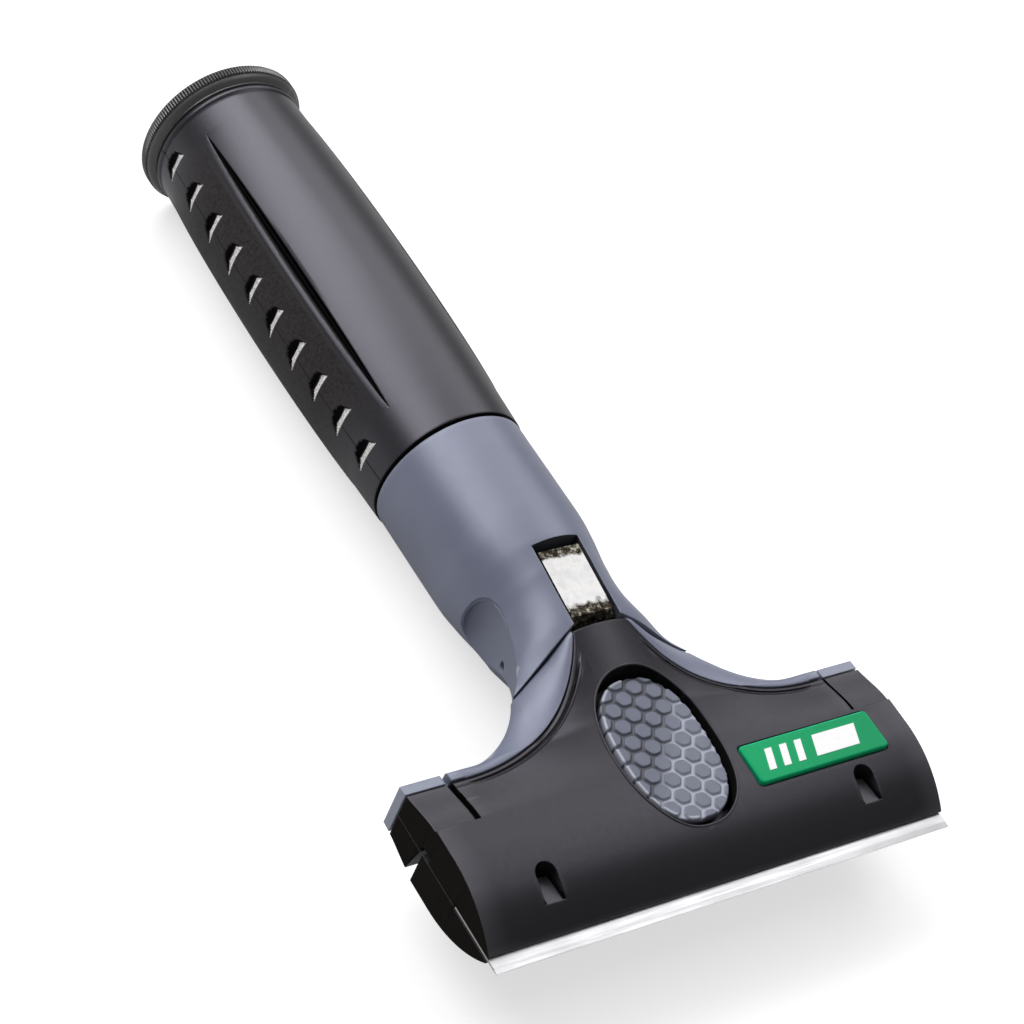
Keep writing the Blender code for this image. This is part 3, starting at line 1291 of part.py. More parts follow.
def panel_lines():
    """Long fine creases that mark the grip's upper and lower panels."""
    bm = bmesh.new()
    for x_side in (-1, 1):
        for z_side in (-1, 1):
            steps = 10
            rows = []
            for k in range(steps + 1):
                y = PANEL_START + (PANEL_END - PANEL_START) * k / steps
                fade = math.sqrt(math.sin(math.pi * k / steps))
                x = PANEL_HALF_WIDTH
                z = math.sqrt(grip_radius(y) ** 2 - x * x)
                out = OVERRUN / 2
                depth = PANEL_CUT_DEPTH * fade - GAP * (1 - fade)
                wide = PANEL_CUT_WIDTH * fade / 2 + WELD
                radius = grip_radius(y)
                ux, uz = x / radius, z / radius
                root = (x - ux * depth, z - uz * depth)
                corners = ((-1, out), (1, out), (PANEL_LEAN_SHARE, 0))
                rows.append([(x_side * (root[0] + uz * wide * a + ux * b), y,
                              z_side * (root[1] - ux * wide * a + uz * b)) for a, b in corners])
            verts = [[bm.verts.new(point) for point in row] for row in rows]
            for near, far in zip(verts, verts[1:]):
                for j in range(3):
                    bm.faces.new((near[j], near[(j + 1) % 3], far[(j + 1) % 3], far[j]))
            bm.faces.new(verts[0])
            bm.faces.new(verts[-1])
    return add_object("panel_lines", mesh_from(bm, "panel_lines"))


def build_ring():
    """Knurled ring: smooth chamfer towards the grip, ribs round the rim."""
    count = 2 * RIB_COUNT
    inner = TUBE_RADIUS + GAP
    rim = RING_RADIUS - RING_CHAMFER
    rib_start = RING_START + RIB_START
    profile = ((inner, RING_START, 0), (RING_NECK_RADIUS, RING_START, 0),
               (RING_NECK_RADIUS, RING_START + GAP, 0), (rim, rib_start - RING_CHAMFER, 0),
               (RING_RADIUS - RIB_DEPTH, rib_start, 0), (RING_RADIUS, rib_start + GAP, RIB_DEPTH),
               (RING_RADIUS, RING_END - RING_CHAMFER, RIB_DEPTH), (rim, RING_END, 0), (inner, RING_END, 0))
    rings = [[((radius - valley * (k % 2)) * math.cos(math.tau * k / count), y,
               (radius - valley * (k % 2)) * math.sin(math.tau * k / count)) for k in range(count)]
             for radius, y, valley in profile]
    return loft("end_ring", rings, RING_BLACK, loop=True)


build_upper_shell()
build_badge()
build_lower_cover()
build_jaw()
build_frame()
build_blade()
build_leaf()
build_rivet()
build_screws()
build_springs()
build_stem()
build_pad()
for pin_side, pin_sign in (("left", -1), ("right", 1)):
    pin_tool("hinge_pin_" + pin_side, pin_sign, finish=SPRING_STEEL)
tenon_pin_tool("tenon_pin", finish=SPRING_STEEL)
build_neck()
build_grip()
build_ring()
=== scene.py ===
"""Looks of the hand scraper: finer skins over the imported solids, finishes, light and camera.

Shapes are drawn in the tool frame of the solids (X along the blade, Y from the
cutting edge to the handle's end, Z from the underside to the button side) and
then moved to the world by DATUM.  Lengths are in metres.
"""
import math

import bmesh
import bpy
from mathutils import Matrix, Vector


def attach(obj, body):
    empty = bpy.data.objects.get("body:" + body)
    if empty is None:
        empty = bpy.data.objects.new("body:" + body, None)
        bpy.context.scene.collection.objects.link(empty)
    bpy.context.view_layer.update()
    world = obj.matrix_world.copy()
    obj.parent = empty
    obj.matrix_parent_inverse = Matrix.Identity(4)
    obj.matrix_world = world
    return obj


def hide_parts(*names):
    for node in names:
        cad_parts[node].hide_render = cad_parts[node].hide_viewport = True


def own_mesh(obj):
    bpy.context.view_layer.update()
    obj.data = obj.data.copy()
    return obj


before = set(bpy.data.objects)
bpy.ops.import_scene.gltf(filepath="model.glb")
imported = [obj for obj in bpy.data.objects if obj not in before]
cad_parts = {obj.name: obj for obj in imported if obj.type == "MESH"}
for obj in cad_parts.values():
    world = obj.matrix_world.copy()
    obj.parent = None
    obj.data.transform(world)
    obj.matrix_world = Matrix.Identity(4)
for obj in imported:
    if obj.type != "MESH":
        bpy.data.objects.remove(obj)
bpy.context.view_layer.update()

# Counts that set how finely the skins are cut
ROUND_STEPS = 48
SEARCH_STEPS = 40
NOSE_ROWS = 18
BODY_ROWS = 40
BAND_ROWS = 12
CROWN_ROWS = 6
RIM_ROWS = 5
APEX_STATIONS = 5
FRAME_APEX_STATIONS = 4
JOINT_STATIONS = 10
CURVE_STATIONS = 36
OVAL_POINTS = 144
SECTION_POINTS = 128
NECK_ROWS = 72
CORNER_STEPS = 4
BADGE_CORNER_STEPS = 8
PIPE_SIDES = 8
EGG_SEGMENTS = 128
PAD_RINGS = 120
PAD_SPOKES = 540
RIB_COUNT = 170
RIB_POINTS = 6

# Names of the two sides in the solids, and the sign of X there
SIDES = (("left", -1), ("right", 1))

# Rounded rim and edge line of the covers, measured in from their rear edge
EDGE_DROP = 0.00035
EDGE_BAND = 0.0010
LINE_HALF_WIDTH = 0.00024
LINE_DEPTH = 0.0005
LINE_RISE = 0.00022
LINE_FADE = 0.0030
EDGE_STEPS = (0.0, 0.00008, 0.0002, 0.0004, 0.0007, 0.00085, 0.0010, 0.00115, 0.0013, 0.0015, 0.0018)
SLOPE_STEP = 0.0001
SLOPE_LIMIT = 3.2

# Crown of the frame's rim
CROWN_RISE = 0.00035
CROWN_EDGE = 0.0005
CROWN_POWER = 0.7

# Grip surface
GRIP_STEP_AROUND = math.radians(2.4)
GRIP_STEP_FINE = math.radians(0.6)
GRIP_STEP_CREASE = math.radians(0.35)
GRIP_ROW = 0.00035
# Width of the painted shadow along the grip's joint with the neck
JOINT_SHADOW = 0.0005
SIDE_ZONE = math.radians(23)
PANEL_ANGLE = math.radians(43)
PANEL_ZONE = math.radians(6)
PANEL_FADE_POWER = 0.6
PANEL_FULL = 1.5
NOTCH_REACH = 0.0038
NOTCH_LONG = 0.0034
NOTCH_FACET = 0.0018
NOTCH_DEEP = 0.0008
NOTCH_TILT = math.radians(7.6)
NOTCH_END_POWER = 1.2
NOTCH_RISE_POWER = 0.7
FACET_LOW_LEAN = 2.0
FACET_HIGH_LEAN = 2.5
PARTING_TILT = math.radians(6.0)
PARTING_DEPTH = 0.00012
PARTING_WIDTH = 0.00016
PARTING_MARK = -0.7
LIP_RISE = 0.0003
LIP_WIDTH = 0.0010
LIP_PANEL = 0.3
CRESCENT_DEPTH = 0.0014
CRESCENT_WIDTH = 0.0011
CRESCENT_WALLS = (0.45, 0.4)
CRESCENT_SHADE = (0.3, 0.25)
RIDGE_RISE = 0.0004
RIDGE_REACH = 0.0040
BEAD_CENTRE = 0.1951
BEAD_HALF_WIDTH = 0.0007
BEAD_RISE = 0.0003
BEAD_FOOT = 1.6

# Ribs of the end ring
RIB_DEPTH = 0.0005
RIB_POWER = 0.8

# Honeycomb of the pad
CELL_PITCH = 0.0035
CELL_STRETCH = 1.1
CELL_SQUARE = 9
CELL_FLAT = 0.00011
CELL_FALL = 0.00036
CELL_DEEP = 0.00035
CELL_SHIFT_X = 0.0011
CELL_SHIFT_Y = -0.0011
PAD_EDGE = 0.0003
PAD_LIP = 0.0007
# Painted light on the pad: where it starts, its reach, and its lean across and along
PAD_LIGHT_FROM = 0.0040
PAD_LIGHT_REACH = 0.0090
PAD_LIGHT_ACROSS = 0.8
PAD_LIGHT_ALONG = 0.6

# Thumb hollows, steep towards the handle's end
HOLLOW_ACROSS = 0.0046
HOLLOW_ALONG = 0.0133
HOLLOW_UP = 0.0135
HOLLOW_TURN = math.radians(21)
HOLLOW_BACK = 0.0040
HOLLOW_OUT = 0.0033
CREASE_RADIUS = 0.00045
CREASE_POINTS = 25
CREASE_START = math.radians(-25)
CREASE_END = math.radians(100)
CREASE_TIP = 0.15
CREASE_POWER = 0.5

# Plan details
HOLE_HALF_LENGTH = 0.0163
HOLE_POWER = 2.3
PAD_END_GAP = 0.0013
PAD_POWER = 2.4
COVER_INSET = 0.0024
RIM_FALL = 0.0012
RIM_FALL_REACH = 0.0060
NECK_FALL_REACH = 0.0100
NECK_FALL_START = 0.4
WAIST_PULL = 0.0142
STEP_DEPTH = 0.0004
SLIT_WIDTH = 0.0010
SLIT_DEPTH = 0.0016

# Ramps in the slots, and the bead and collar of the button's hole
RAMP_BACK = 0.0128
RAMP_LOW = 0.0035
RAMP_HALF_WIDTH = 0.0016
BEAD_PIPE = 0.00022
COLLAR_WALL = 0.0006
COLLAR_PLAY = 0.00003
COLLAR_BOTTOM = 0.00475

# White bars on the badge: start and width of each
BADGE_BARS = ((0.0030, 0.0016), (0.0064, 0.0016), (0.0098, 0.0016), (0.0140, 0.0100))
BAR_HALF_HEIGHT = 0.0022
BAR_SLANT = 0.0016
BAR_RISE = 0.00006

# Directions that tell a wall, an end face, a ramp and the ring's chamfer from their neighbours
WALL_LIMIT = 0.5
END_LIMIT = 0.9
RAMP_LIMITS = (0.3, 0.99)
CHAMFER_LIMIT = -0.3

# Camera that was fitted to the photograph
CAMERA_PLACE = (-0.2988, -0.1831, 0.3777)
CAMERA_RIGHT = (0.8156, -0.4912, 0.3058)
CAMERA_DOWN = (-0.183, -0.7203, -0.6691)
CAMERA_FORWARD = (0.5489, 0.4897, -0.6774)
FOCAL_PIXELS = 2964
IMAGE_WIDTH = 1024
SENSOR_WIDTH = 36

# Brightness of the room, and how much the floor is lifted towards white in the picture
ROOM_LIGHT = 0.26
FLOOR_LIFT = 0.62

# Sizes shared with the solids
GAP = 0.0003
SEAM = 0.0003
OVERRUN = 0.0080
WELD = 0.00001
BLADE_LENGTH = 0.1000
BLADE_DEPTH = 0.0140
BLADE_THICKNESS = 0.0004
PEG_FROM_END = 0.0150
PEG_RADIUS = 0.0013
PEG_INSET = 0.0017
END_MARGIN = 0.0001
HEAD_HALF_THICKNESS = 0.0073
SHELL_FRONT = 0.0030
LIP_HALF_HEIGHT = 0.0009
NOSE_RADIUS = 0.0232
HEAD_REAR = 0.0361
ARM_LENGTH = 0.0121
ARM_BEND_DEPTH = 0.0116
ARM_DROP = 0.0020
ARM_PULL = 0.0129
WAIST_Y = 0.0640
WAIST_HALF_WIDTH = 0.0147
RIM_ROUND = 0.0005
SHELL_WALL = 0.0018
APEX_HALF_WIDTH = 0.0058
APEX_Y = 0.0535
APEX_PULL_X = 0.0037
APEX_PULL_Y = 0.0095
COVER_ARM_PULL = 0.0190
JOINT_Y = 0.0545
JOINT_SIDE_X = 0.0175
JOINT_SIDE_Y = 0.0486
NECK_PROUD_SHARE = 0.02
GRIP_START = 0.1018
NECK_INSET = 0.0002
RISE_SHARES = ((0.18, 0.0), (0.236, 0.02), (0.295, 0.07), (0.354, 0.17), (0.413, 0.31), (0.472, 0.46),
               (0.534, 0.61), (0.589, 0.77), (0.648, 0.91), (0.707, 0.985), (0.786, 1.0), (1.0, 1.0))
WIDTH_SHARES = ((0.0, 0.0), (0.1, 0.1), (0.22, 0.6), (0.34, 0.95), (0.6, 1.0), (1.0, 1.0))
EDGE_SHARES = ((0.0, 1.0), (0.28, 1.05), (0.47, 0.98), (0.65, 0.6), (0.86, 0.1), (1.0, 0.0))
BELL_START = 0.0400
BELL_END = 0.0560
BELL_POWER_HEAD = 2.0
BELL_POWER_WAIST = 0.66
BELL_POWER_NECK = 0.5
WAIST_FADE_END = 0.0800
HOLLOW_Y = 0.0620
HOLLOW_Z = -0.0015
SCOOP_REACH = 0.0188
SCOOP_Y = 0.0550
SCOOP_RADIUS = 0.0180
SCOOP_TOP = 0.0030
SCOOP_SLANT = 0.8
TUBE_WALL = 0.0016
SOCKET_MOUTH_RADIUS = 0.0116
SOCKET_STEP_DROP = 0.0020
SOCKET_TIP_DROP = 0.0011
SOCKET_FLOOR = 0.0030
GRIP_LENGTH = 0.0942
GRIP_WALL = 0.0024
GRIP_SWELL = 0.0010
GRIP_EDGE_ROUND = 0.0006
NOTCH_COUNT = 10
NOTCH_START = 0.0080
NOTCH_STOP = 0.0052
PANEL_FRONT = 0.0097
PANEL_REAR = 0.0075
RING_LENGTH = 0.0041
RING_PROUD = 0.0017
RING_NECK_PROUD = 0.0001
RING_CHAMFER = 0.0005
RIB_START = 0.0016
WINDOW_HALF_WIDTH = 0.0051
WINDOW_END = 0.0713
LEAF_HALF_WIDTH = 0.0045
WEB_DEPTH = 0.0046
WEB_HALF_THICKNESS = 0.0010
WEB_FROM_END = 0.0119
SPINE_HALF_WIDTH = 0.0070
SPINE_COVER = 0.0013
SPINE_FRONT = 0.0455
TENON_END = 0.0660
TENON_PIN_RADIUS = 0.0008
TENON_PIN_Y = 0.0586
TENON_PIN_Z = -0.0022
TENON_PIN_HALF_LENGTH = 0.0100
CAVITY_FRONT = 0.0149
CAVITY_FROM_END = 0.0111
APEX_NOTCH_RISE = 0.0020
APEX_NOTCH_FRONT = 0.0515
BLOCK_WIDTH = 0.0091
BLOCK_DEPTH = 0.0114
HINGE_INSET = 0.0001
HINGE_Z = 0.0017
KNUCKLE_RADIUS = 0.0016
LUG_FROM_END = 0.0046
LUG_WIDTH = 0.0030
PIN_FROM_END = 0.0019
JAW_BEHIND_HINGE = 0.0006
JAW_OPEN = math.radians(13.0)
END_NOTCH_FRONT = 0.0014
END_NOTCH_REAR = 0.0016
END_NOTCH_TOP = 0.0014
TAIL_FROM_END = 0.0201
TAIL_HALF_WIDTH = 0.0021
TAIL_FRONT = 0.0052
TAIL_REACH = 0.0054
TAIL_TOP = -0.0012
TAIL_THICKNESS = 0.0020
RIB_HALF_WIDTH = 0.0006
JAW_RIB_X = 0.0170
JAW_RIB_TOP = -0.0016
BUTTON_Y = 0.0280
HOLE_HALF_WIDTH = 0.0109
HOLE_FLOOR = 0.0029
PAD_SIDE_GAP = 0.0013
PAD_FRONT_DROP = 0.0010
PAD_REAR_RISE = 0.0012
STEM_HALF_WIDTH = 0.0119
STEM_DROP = 0.0029
PLUNGER_REAR = 0.0180
PLUNGER_HALF_WIDTH = 0.0050
ANVIL_TOP = -0.0025
ANVIL_MARGIN = 0.0008
SCREW_PLACE_SHARE = 0.475
SCREW_Y = 0.0330
SCREW_RADIUS = 0.0011
SCREW_HEAD_RADIUS = 0.0021
SCREW_HEAD_HEIGHT = 0.0014
BOSS_RADIUS = 0.0026
SCREW_RECESS = 0.0004
BADGE_FROM_HOLE = 0.0024
BADGE_FROM_END = 0.0070
BADGE_CENTRE_Y = 0.0195
BADGE_HALF_WIDTH = 0.0042
BADGE_CORNER = 0.0008
BADGE_THICKNESS = 0.0012
BADGE_PROUD = 0.0005
BADGE_BEVEL = 0.0004
SLOT_HALF_WIDTH = 0.0021
SLOT_FRONT = 0.0073
SLOT_REAR = 0.0139
SLOT_FLOOR = 0.0012
RAMP_DROP = 0.0002
SLOT_STEPS = 10
LUG_STEPS = 12
HEAD_WIDTH = BLADE_LENGTH + 2 * END_MARGIN
HEAD_HALF_WIDTH = HEAD_WIDTH / 2
HALF_SEAM = SEAM / 2
POCKET_HALF_HEIGHT = BLADE_THICKNESS / 2 + GAP
NOSE_DROP = HEAD_HALF_THICKNESS - LIP_HALF_HEIGHT
NOSE_END = SHELL_FRONT + math.sqrt(2 * NOSE_RADIUS * NOSE_DROP - NOSE_DROP ** 2)
PEG_X = HEAD_HALF_WIDTH - PEG_FROM_END
ARM_ROOT_X = HEAD_HALF_WIDTH - ARM_LENGTH
ARM_REAR_HEIGHT = HEAD_HALF_THICKNESS - ARM_DROP
SCOOP_X = JOINT_SIDE_X + SCOOP_REACH
JOINT_HALF_FLAT = WINDOW_HALF_WIDTH - GAP
COVER_REAR = HEAD_REAR - COVER_INSET
WEB_FRONT = HEAD_REAR - WEB_DEPTH
WEB_HALF_WIDTH = HEAD_HALF_WIDTH - WEB_FROM_END
CAVITY_HALF_WIDTH = HEAD_HALF_WIDTH - CAVITY_FROM_END
SPINE_HALF_HEIGHT = HEAD_HALF_THICKNESS - SPINE_COVER
APEX_NOTCH_TOP = HEAD_HALF_THICKNESS + APEX_NOTCH_RISE
BLOCK_X = HEAD_HALF_WIDTH - BLOCK_WIDTH
BLOCK_FRONT = HEAD_REAR - BLOCK_DEPTH
HINGE_Y = BLOCK_FRONT - HINGE_INSET
LUG_OUTER_X = HEAD_HALF_WIDTH - LUG_FROM_END
LUG_INNER_X = LUG_OUTER_X - LUG_WIDTH
PIN_OUTER_X = HEAD_HALF_WIDTH - PIN_FROM_END
JAW_REAR = HINGE_Y + JAW_BEHIND_HINGE
TAIL_X = HEAD_HALF_WIDTH - TAIL_FROM_END
TAIL_ROOT = JAW_REAR - TAIL_FRONT
TAIL_END = JAW_REAR + TAIL_REACH
STEM_TOP = HEAD_HALF_THICKNESS - STEM_DROP
JAW_FLOOR = -HEAD_HALF_THICKNESS + SHELL_WALL - GAP
PAD_BOTTOM = STEM_TOP + GAP
PAD_FRONT_HEIGHT = HEAD_HALF_THICKNESS - PAD_FRONT_DROP
PAD_REAR_HEIGHT = HEAD_HALF_THICKNESS + PAD_REAR_RISE
PAD_HALF_WIDTH = HOLE_HALF_WIDTH - PAD_SIDE_GAP
PAD_HALF_LENGTH = HOLE_HALF_LENGTH - PAD_END_GAP
SCREW_X = STEM_HALF_WIDTH + SCREW_PLACE_SHARE * (TAIL_X - STEM_HALF_WIDTH)
BADGE_INNER_X = HOLE_HALF_WIDTH + BADGE_FROM_HOLE
BADGE_OUTER_X = HEAD_HALF_WIDTH - BADGE_FROM_END
BADGE_CENTRE_X = (BADGE_INNER_X + BADGE_OUTER_X) / 2
BADGE_HALF_LENGTH = (BADGE_OUTER_X - BADGE_INNER_X) / 2
TUBE_RADIUS = SOCKET_MOUTH_RADIUS + TUBE_WALL
SOCKET_STEP_RADIUS = SOCKET_MOUTH_RADIUS - SOCKET_STEP_DROP
SOCKET_TIP_RADIUS = SOCKET_STEP_RADIUS - SOCKET_TIP_DROP
SOCKET_END = TENON_END + SOCKET_FLOOR
GRIP_END_RADIUS = TUBE_RADIUS + GAP + GRIP_WALL
GRIP_MIDDLE_RADIUS = GRIP_END_RADIUS + GRIP_SWELL
GRIP_END = GRIP_START + GRIP_LENGTH
NECK_RADIUS = GRIP_END_RADIUS - NECK_INSET
NOTCH_FIRST = GRIP_START + NOTCH_START
NOTCH_PITCH = (GRIP_LENGTH - NOTCH_START - NOTCH_STOP) / (NOTCH_COUNT - 1)
PANEL_START = GRIP_START + PANEL_FRONT
PANEL_END = GRIP_END - PANEL_REAR
RING_START = GRIP_END + GAP
RING_END = RING_START + RING_LENGTH
RING_RADIUS = GRIP_END_RADIUS + RING_PROUD
RING_NECK_RADIUS = GRIP_END_RADIUS + RING_NECK_PROUD
OVERALL_LENGTH = RING_END
CONTOUR = ((WAIST_HALF_WIDTH, WAIST_Y), (WAIST_HALF_WIDTH, WAIST_Y - WAIST_PULL),
           (ARM_ROOT_X - ARM_PULL, HEAD_REAR), (ARM_ROOT_X, HEAD_REAR))
COVER_EDGE = ((APEX_HALF_WIDTH, APEX_Y), (APEX_HALF_WIDTH + APEX_PULL_X, APEX_Y - APEX_PULL_Y),
              (ARM_ROOT_X - COVER_ARM_PULL, COVER_REAR), (ARM_ROOT_X, COVER_REAR))


def smooth(share):
    """Ease from 0 to 1 with level ends."""
    held = min(1.0, max(0.0, share))
    return held * held * (3 - 2 * held)


def read_shares(shares, place):
    """Read a table of (place, value) shares, with a straight line between rows."""
    if place <= shares[0][0]:
        return shares[0][1]
    for (start, low), (end, high) in zip(shares, shares[1:]):
        if place <= end:
            return low + (high - low) * (place - start) / (end - start)
    return shares[-1][1]


def bezier(points, t):
    """Point at t on a cubic curve through two of the four points."""
    a, b, c, d = points
    s = 1 - t
    return tuple(s ** 3 * p + 3 * s * s * t * q + 3 * s * t * t * r + t ** 3 * v
                 for p, q, r, v in zip(a, b, c, d))


def evenly(low, high, count):
    """Evenly spaced places from one to the other, both included."""
    return [low + (high - low) * k / count for k in range(count + 1)]


def solve(function, target, low, high):
    """Find where a rising or falling function meets the target."""
    rising = function(high) > function(low)
    for _ in range(SEARCH_STEPS):
        middle = (low + high) / 2
        if (function(middle) < target) == rising:
            low = middle
        else:
            high = middle
    return (low + high) / 2


def edge_y(points, x):
    """Rear edge in plan, level on both sides of its curve."""
    reach = abs(x)
    (inner, inner_y), _, _, (outer, outer_y) = points
    if reach >= outer:
        return outer_y
    if reach <= inner:
        return inner_y
    return bezier(points, solve(lambda t: bezier(points, t)[0], reach, 0, 1))[1]


def half_width(y):
    """Half the width of the head and neck at one place along the tool."""
    if y <= HEAD_REAR:
        return ARM_ROOT_X
    if y >= WAIST_Y:
        share = read_shares(WIDTH_SHARES, (y - WAIST_Y) / (GRIP_START - WAIST_Y))
        return WAIST_HALF_WIDTH + (NECK_RADIUS - WAIST_HALF_WIDTH) * share
    return bezier(CONTOUR, solve(lambda t: bezier(CONTOUR, t)[1], y, 0, 1))[0]


def cover_y(x):
    """Rear edge of the two covers."""
    return edge_y(COVER_EDGE, x)


def joint_y(x):
    """Line in plan where the neck meets the head."""
    side = max(0, abs(x) - JOINT_HALF_FLAT)
    return JOINT_Y - side * (JOINT_Y - JOINT_SIDE_Y) / (JOINT_SIDE_X - JOINT_HALF_FLAT)


def nose_height(y):
    """Height of the rounded nose above the mid plane."""
    if y >= NOSE_END:
        return HEAD_HALF_THICKNESS
    return HEAD_HALF_THICKNESS - NOSE_RADIUS + math.sqrt(NOSE_RADIUS ** 2 - (NOSE_END - y) ** 2)


def ridge_height(y):
    """Height along the tool's centre line."""
    rise = NECK_RADIUS - HEAD_HALF_THICKNESS
    return HEAD_HALF_THICKNESS + rise * read_shares(RISE_SHARES, y / GRIP_START)


def edge_height(y):
    """Height where the top meets the side wall."""
    if y <= HEAD_REAR:
        fall = smooth((y - HEAD_REAR + ARM_BEND_DEPTH) / ARM_BEND_DEPTH)
        return HEAD_HALF_THICKNESS - (HEAD_HALF_THICKNESS - ARM_REAR_HEIGHT) * fall
    return ARM_REAR_HEIGHT * read_shares(EDGE_SHARES, (y - HEAD_REAR) / (WAIST_Y - HEAD_REAR))


def top_height(x, y):
    """Height of the head and neck above the mid plane."""
    if y <= NOSE_END:
        return nose_height(y)
    edge = edge_height(y)
    spread = min(1.0, abs(x) / half_width(y))
    blend = smooth((y - BELL_START) / (BELL_END - BELL_START))
    fade = smooth((y - WAIST_Y) / (WAIST_FADE_END - WAIST_Y))
    power = BELL_POWER_HEAD + (BELL_POWER_WAIST - BELL_POWER_HEAD) * blend
    power += (BELL_POWER_NECK - BELL_POWER_WAIST) * fade
    return edge + (ridge_height(y) - edge) * (1 - spread * spread) ** power


def grip_radius(y):
    """Barrel-shaped grip, thickest in the middle."""
    middle = (GRIP_START + GRIP_END) / 2
    share = (y - middle) / (GRIP_END - middle)
    return GRIP_MIDDLE_RADIUS - (GRIP_MIDDLE_RADIUS - GRIP_END_RADIUS) * share * share


def mesh_from(bm, name):
    mesh = bpy.data.meshes.new(name)
    bmesh.ops.recalc_face_normals(bm, faces=bm.faces)
    if bm.calc_volume(signed=True) < 0:
        bmesh.ops.reverse_faces(bm, faces=bm.faces)
    bm.to_mesh(mesh)
    bm.free()
    return mesh


def object_from(bm, name):
    return add_object(name, mesh_from(bm, name))


def rods(name, radius, ends):
    """Round bars, each between two points."""
    bm = bmesh.new()
    for start, end in ends:
        start, end = Vector(start), Vector(end)
        turn = Vector((0, 0, 1)).rotation_difference(end - start).to_matrix().to_4x4()
        place = Matrix.Translation((start + end) / 2) @ turn
        bmesh.ops.create_cone(bm, cap_ends=True, segments=ROUND_STEPS, radius1=radius, radius2=radius,
                              depth=(end - start).length, matrix=place)
    return object_from(bm, name)


def upright_pair(name, radius, x, y, low, high):
    """Two upright round bars, one on each side."""
    return rods(name, radius, [((side * x, y, low), (side * x, y, high)) for _, side in SIDES])


def mesh_of_curve(source, name):
    """Turn a curve object into one closed mesh and remove the curve."""
    bpy.context.view_layer.update()
    mesh = bpy.data.meshes.new_from_object(source.evaluated_get(bpy.context.evaluated_depsgraph_get()))
    mesh.transform(source.matrix_world)
    bpy.data.objects.remove(source)
    bm = bmesh.new()
    bm.from_mesh(mesh)
    bmesh.ops.remove_doubles(bm, verts=bm.verts, dist=WELD)
    bpy.data.meshes.remove(mesh)
    return mesh_from(bm, name)


def sheet(bm, near, far):
    """Faces between two rows of points."""
    for k in range(len(near) - 1):
        bm.faces.new((near[k], near[k + 1], far[k + 1], far[k]))


def plate(name, stations, rows, low, high):
    """Closed solid over a plan grid, from a flat or curved floor to a curved top."""
    bm = bmesh.new()
    tops, feet = [], []
    for x in stations:
        places = rows(x)
        tops.append([bm.verts.new((x, y, high(x, y))) for y in places])
        feet.append([bm.verts.new((x, y, low(x, y) if callable(low) else low)) for y in places])
    for grid in (tops, feet) if callable(low) else (tops,):
        for near, far in zip(grid, grid[1:]):
            sheet(bm, near, far)
    for k in (0, -1):
        sheet(bm, tops[k], feet[k])
    for k in (0, -1):
        sheet(bm, [row[k] for row in tops], [row[k] for row in feet])
    if not callable(low):
        edge = [column[0] for column in feet] + feet[-1][1:-1]
        edge += [column[-1] for column in reversed(feet)] + feet[0][-2:0:-1]
        bm.faces.new(edge)
    return object_from(bm, name)


def combine(piece, operation, tools):
    for tool in tools:
        change = piece.modifiers.new(tool.name, "BOOLEAN")
        change.operation = operation
        change.solver = "EXACT"
        change.object = tool


def cut(piece, *tools):
    combine(piece, "DIFFERENCE", tools)


def join(piece, *tools):
    combine(piece, "UNION", tools)


def both(half):
    """Range that reaches equally far to both sides of the middle."""
    return (-half, half)


def span(sign, near, far):
    """Range between two distances, on the side that the sign gives."""
    return tuple(sorted((sign * near, sign * far)))


def rounding(share):
    """Drop of a rounded edge: 0 where the rounding starts and 1 at its end."""
    return 1 - math.sqrt(max(0, 1 - share * share))


def mirrored(places):
    """Places on both sides of the middle, from those on one side."""
    return [-x for x in reversed(places) if x > 0] + list(places)


def oval(half_x, half_y, power, count=OVAL_POINTS):
    """Superellipse round the button's middle: power 2 is an ellipse, more is squarer."""
    points = []
    for k in range(count):
        angle = math.tau * k / count
        c, s = math.cos(angle), math.sin(angle)
        points.append((half_x * math.copysign(abs(c) ** (2 / power), c),
                       BUTTON_Y + half_y * math.copysign(abs(s) ** (2 / power), s)))
    return points


def hole_outline(grow=0.0):
    return oval(HOLE_HALF_WIDTH + grow, HOLE_HALF_LENGTH + grow, HOLE_POWER)


def rounded_rectangle(centre, half_x, half_y, corner, steps=CORNER_STEPS):
    points = []
    for turn, (sx, sy) in enumerate(((1, 1), (-1, 1), (-1, -1), (1, -1))):
        for k in range(steps + 1):
            angle = math.pi / 2 * (turn + k / steps)
            points.append((centre[0] + sx * (half_x - corner) + corner * math.cos(angle),
                           centre[1] + sy * (half_y - corner) + corner * math.sin(angle)))
    return points


def half_circle(a, b, radius, steps):
    """Points of the upper half of a circle, from its right end to its left end."""
    turns = evenly(0, math.pi, steps)
    return [(a + radius * math.cos(turn), b + radius * math.sin(turn)) for turn in turns]


def slot_outline(centre):
    """U shape: square at the front, round at the rear."""
    half = SLOT_HALF_WIDTH
    corners = [(centre - half, SLOT_FRONT), (centre + half, SLOT_FRONT)]
    return corners + half_circle(centre, SLOT_REAR - half, half, SLOT_STEPS)


def blade_pocket(name):
    return box(name, both(HEAD_WIDTH), (-OVERRUN, BLADE_DEPTH + GAP), both(POCKET_HALF_HEIGHT))


def screw_tools(name, radius, low, high):
    """Round tools at both screw places."""
    return upright_pair(name, radius, SCREW_X, SCREW_Y, low, high)


def boss_end():
    """Bosses end inside the thickness of the cover."""
    return top_height(SCREW_X + BOSS_RADIUS, SCREW_Y) - SHELL_WALL / 2


def cavity(name, front):
    """Hollow of a cover, open towards the mid plane."""
    return plate(name, cover_stations(CAVITY_HALF_WIDTH), cover_rows(front, SHELL_WALL), -OVERRUN,
                 lambda x, y: top_height(x, y) - SHELL_WALL)


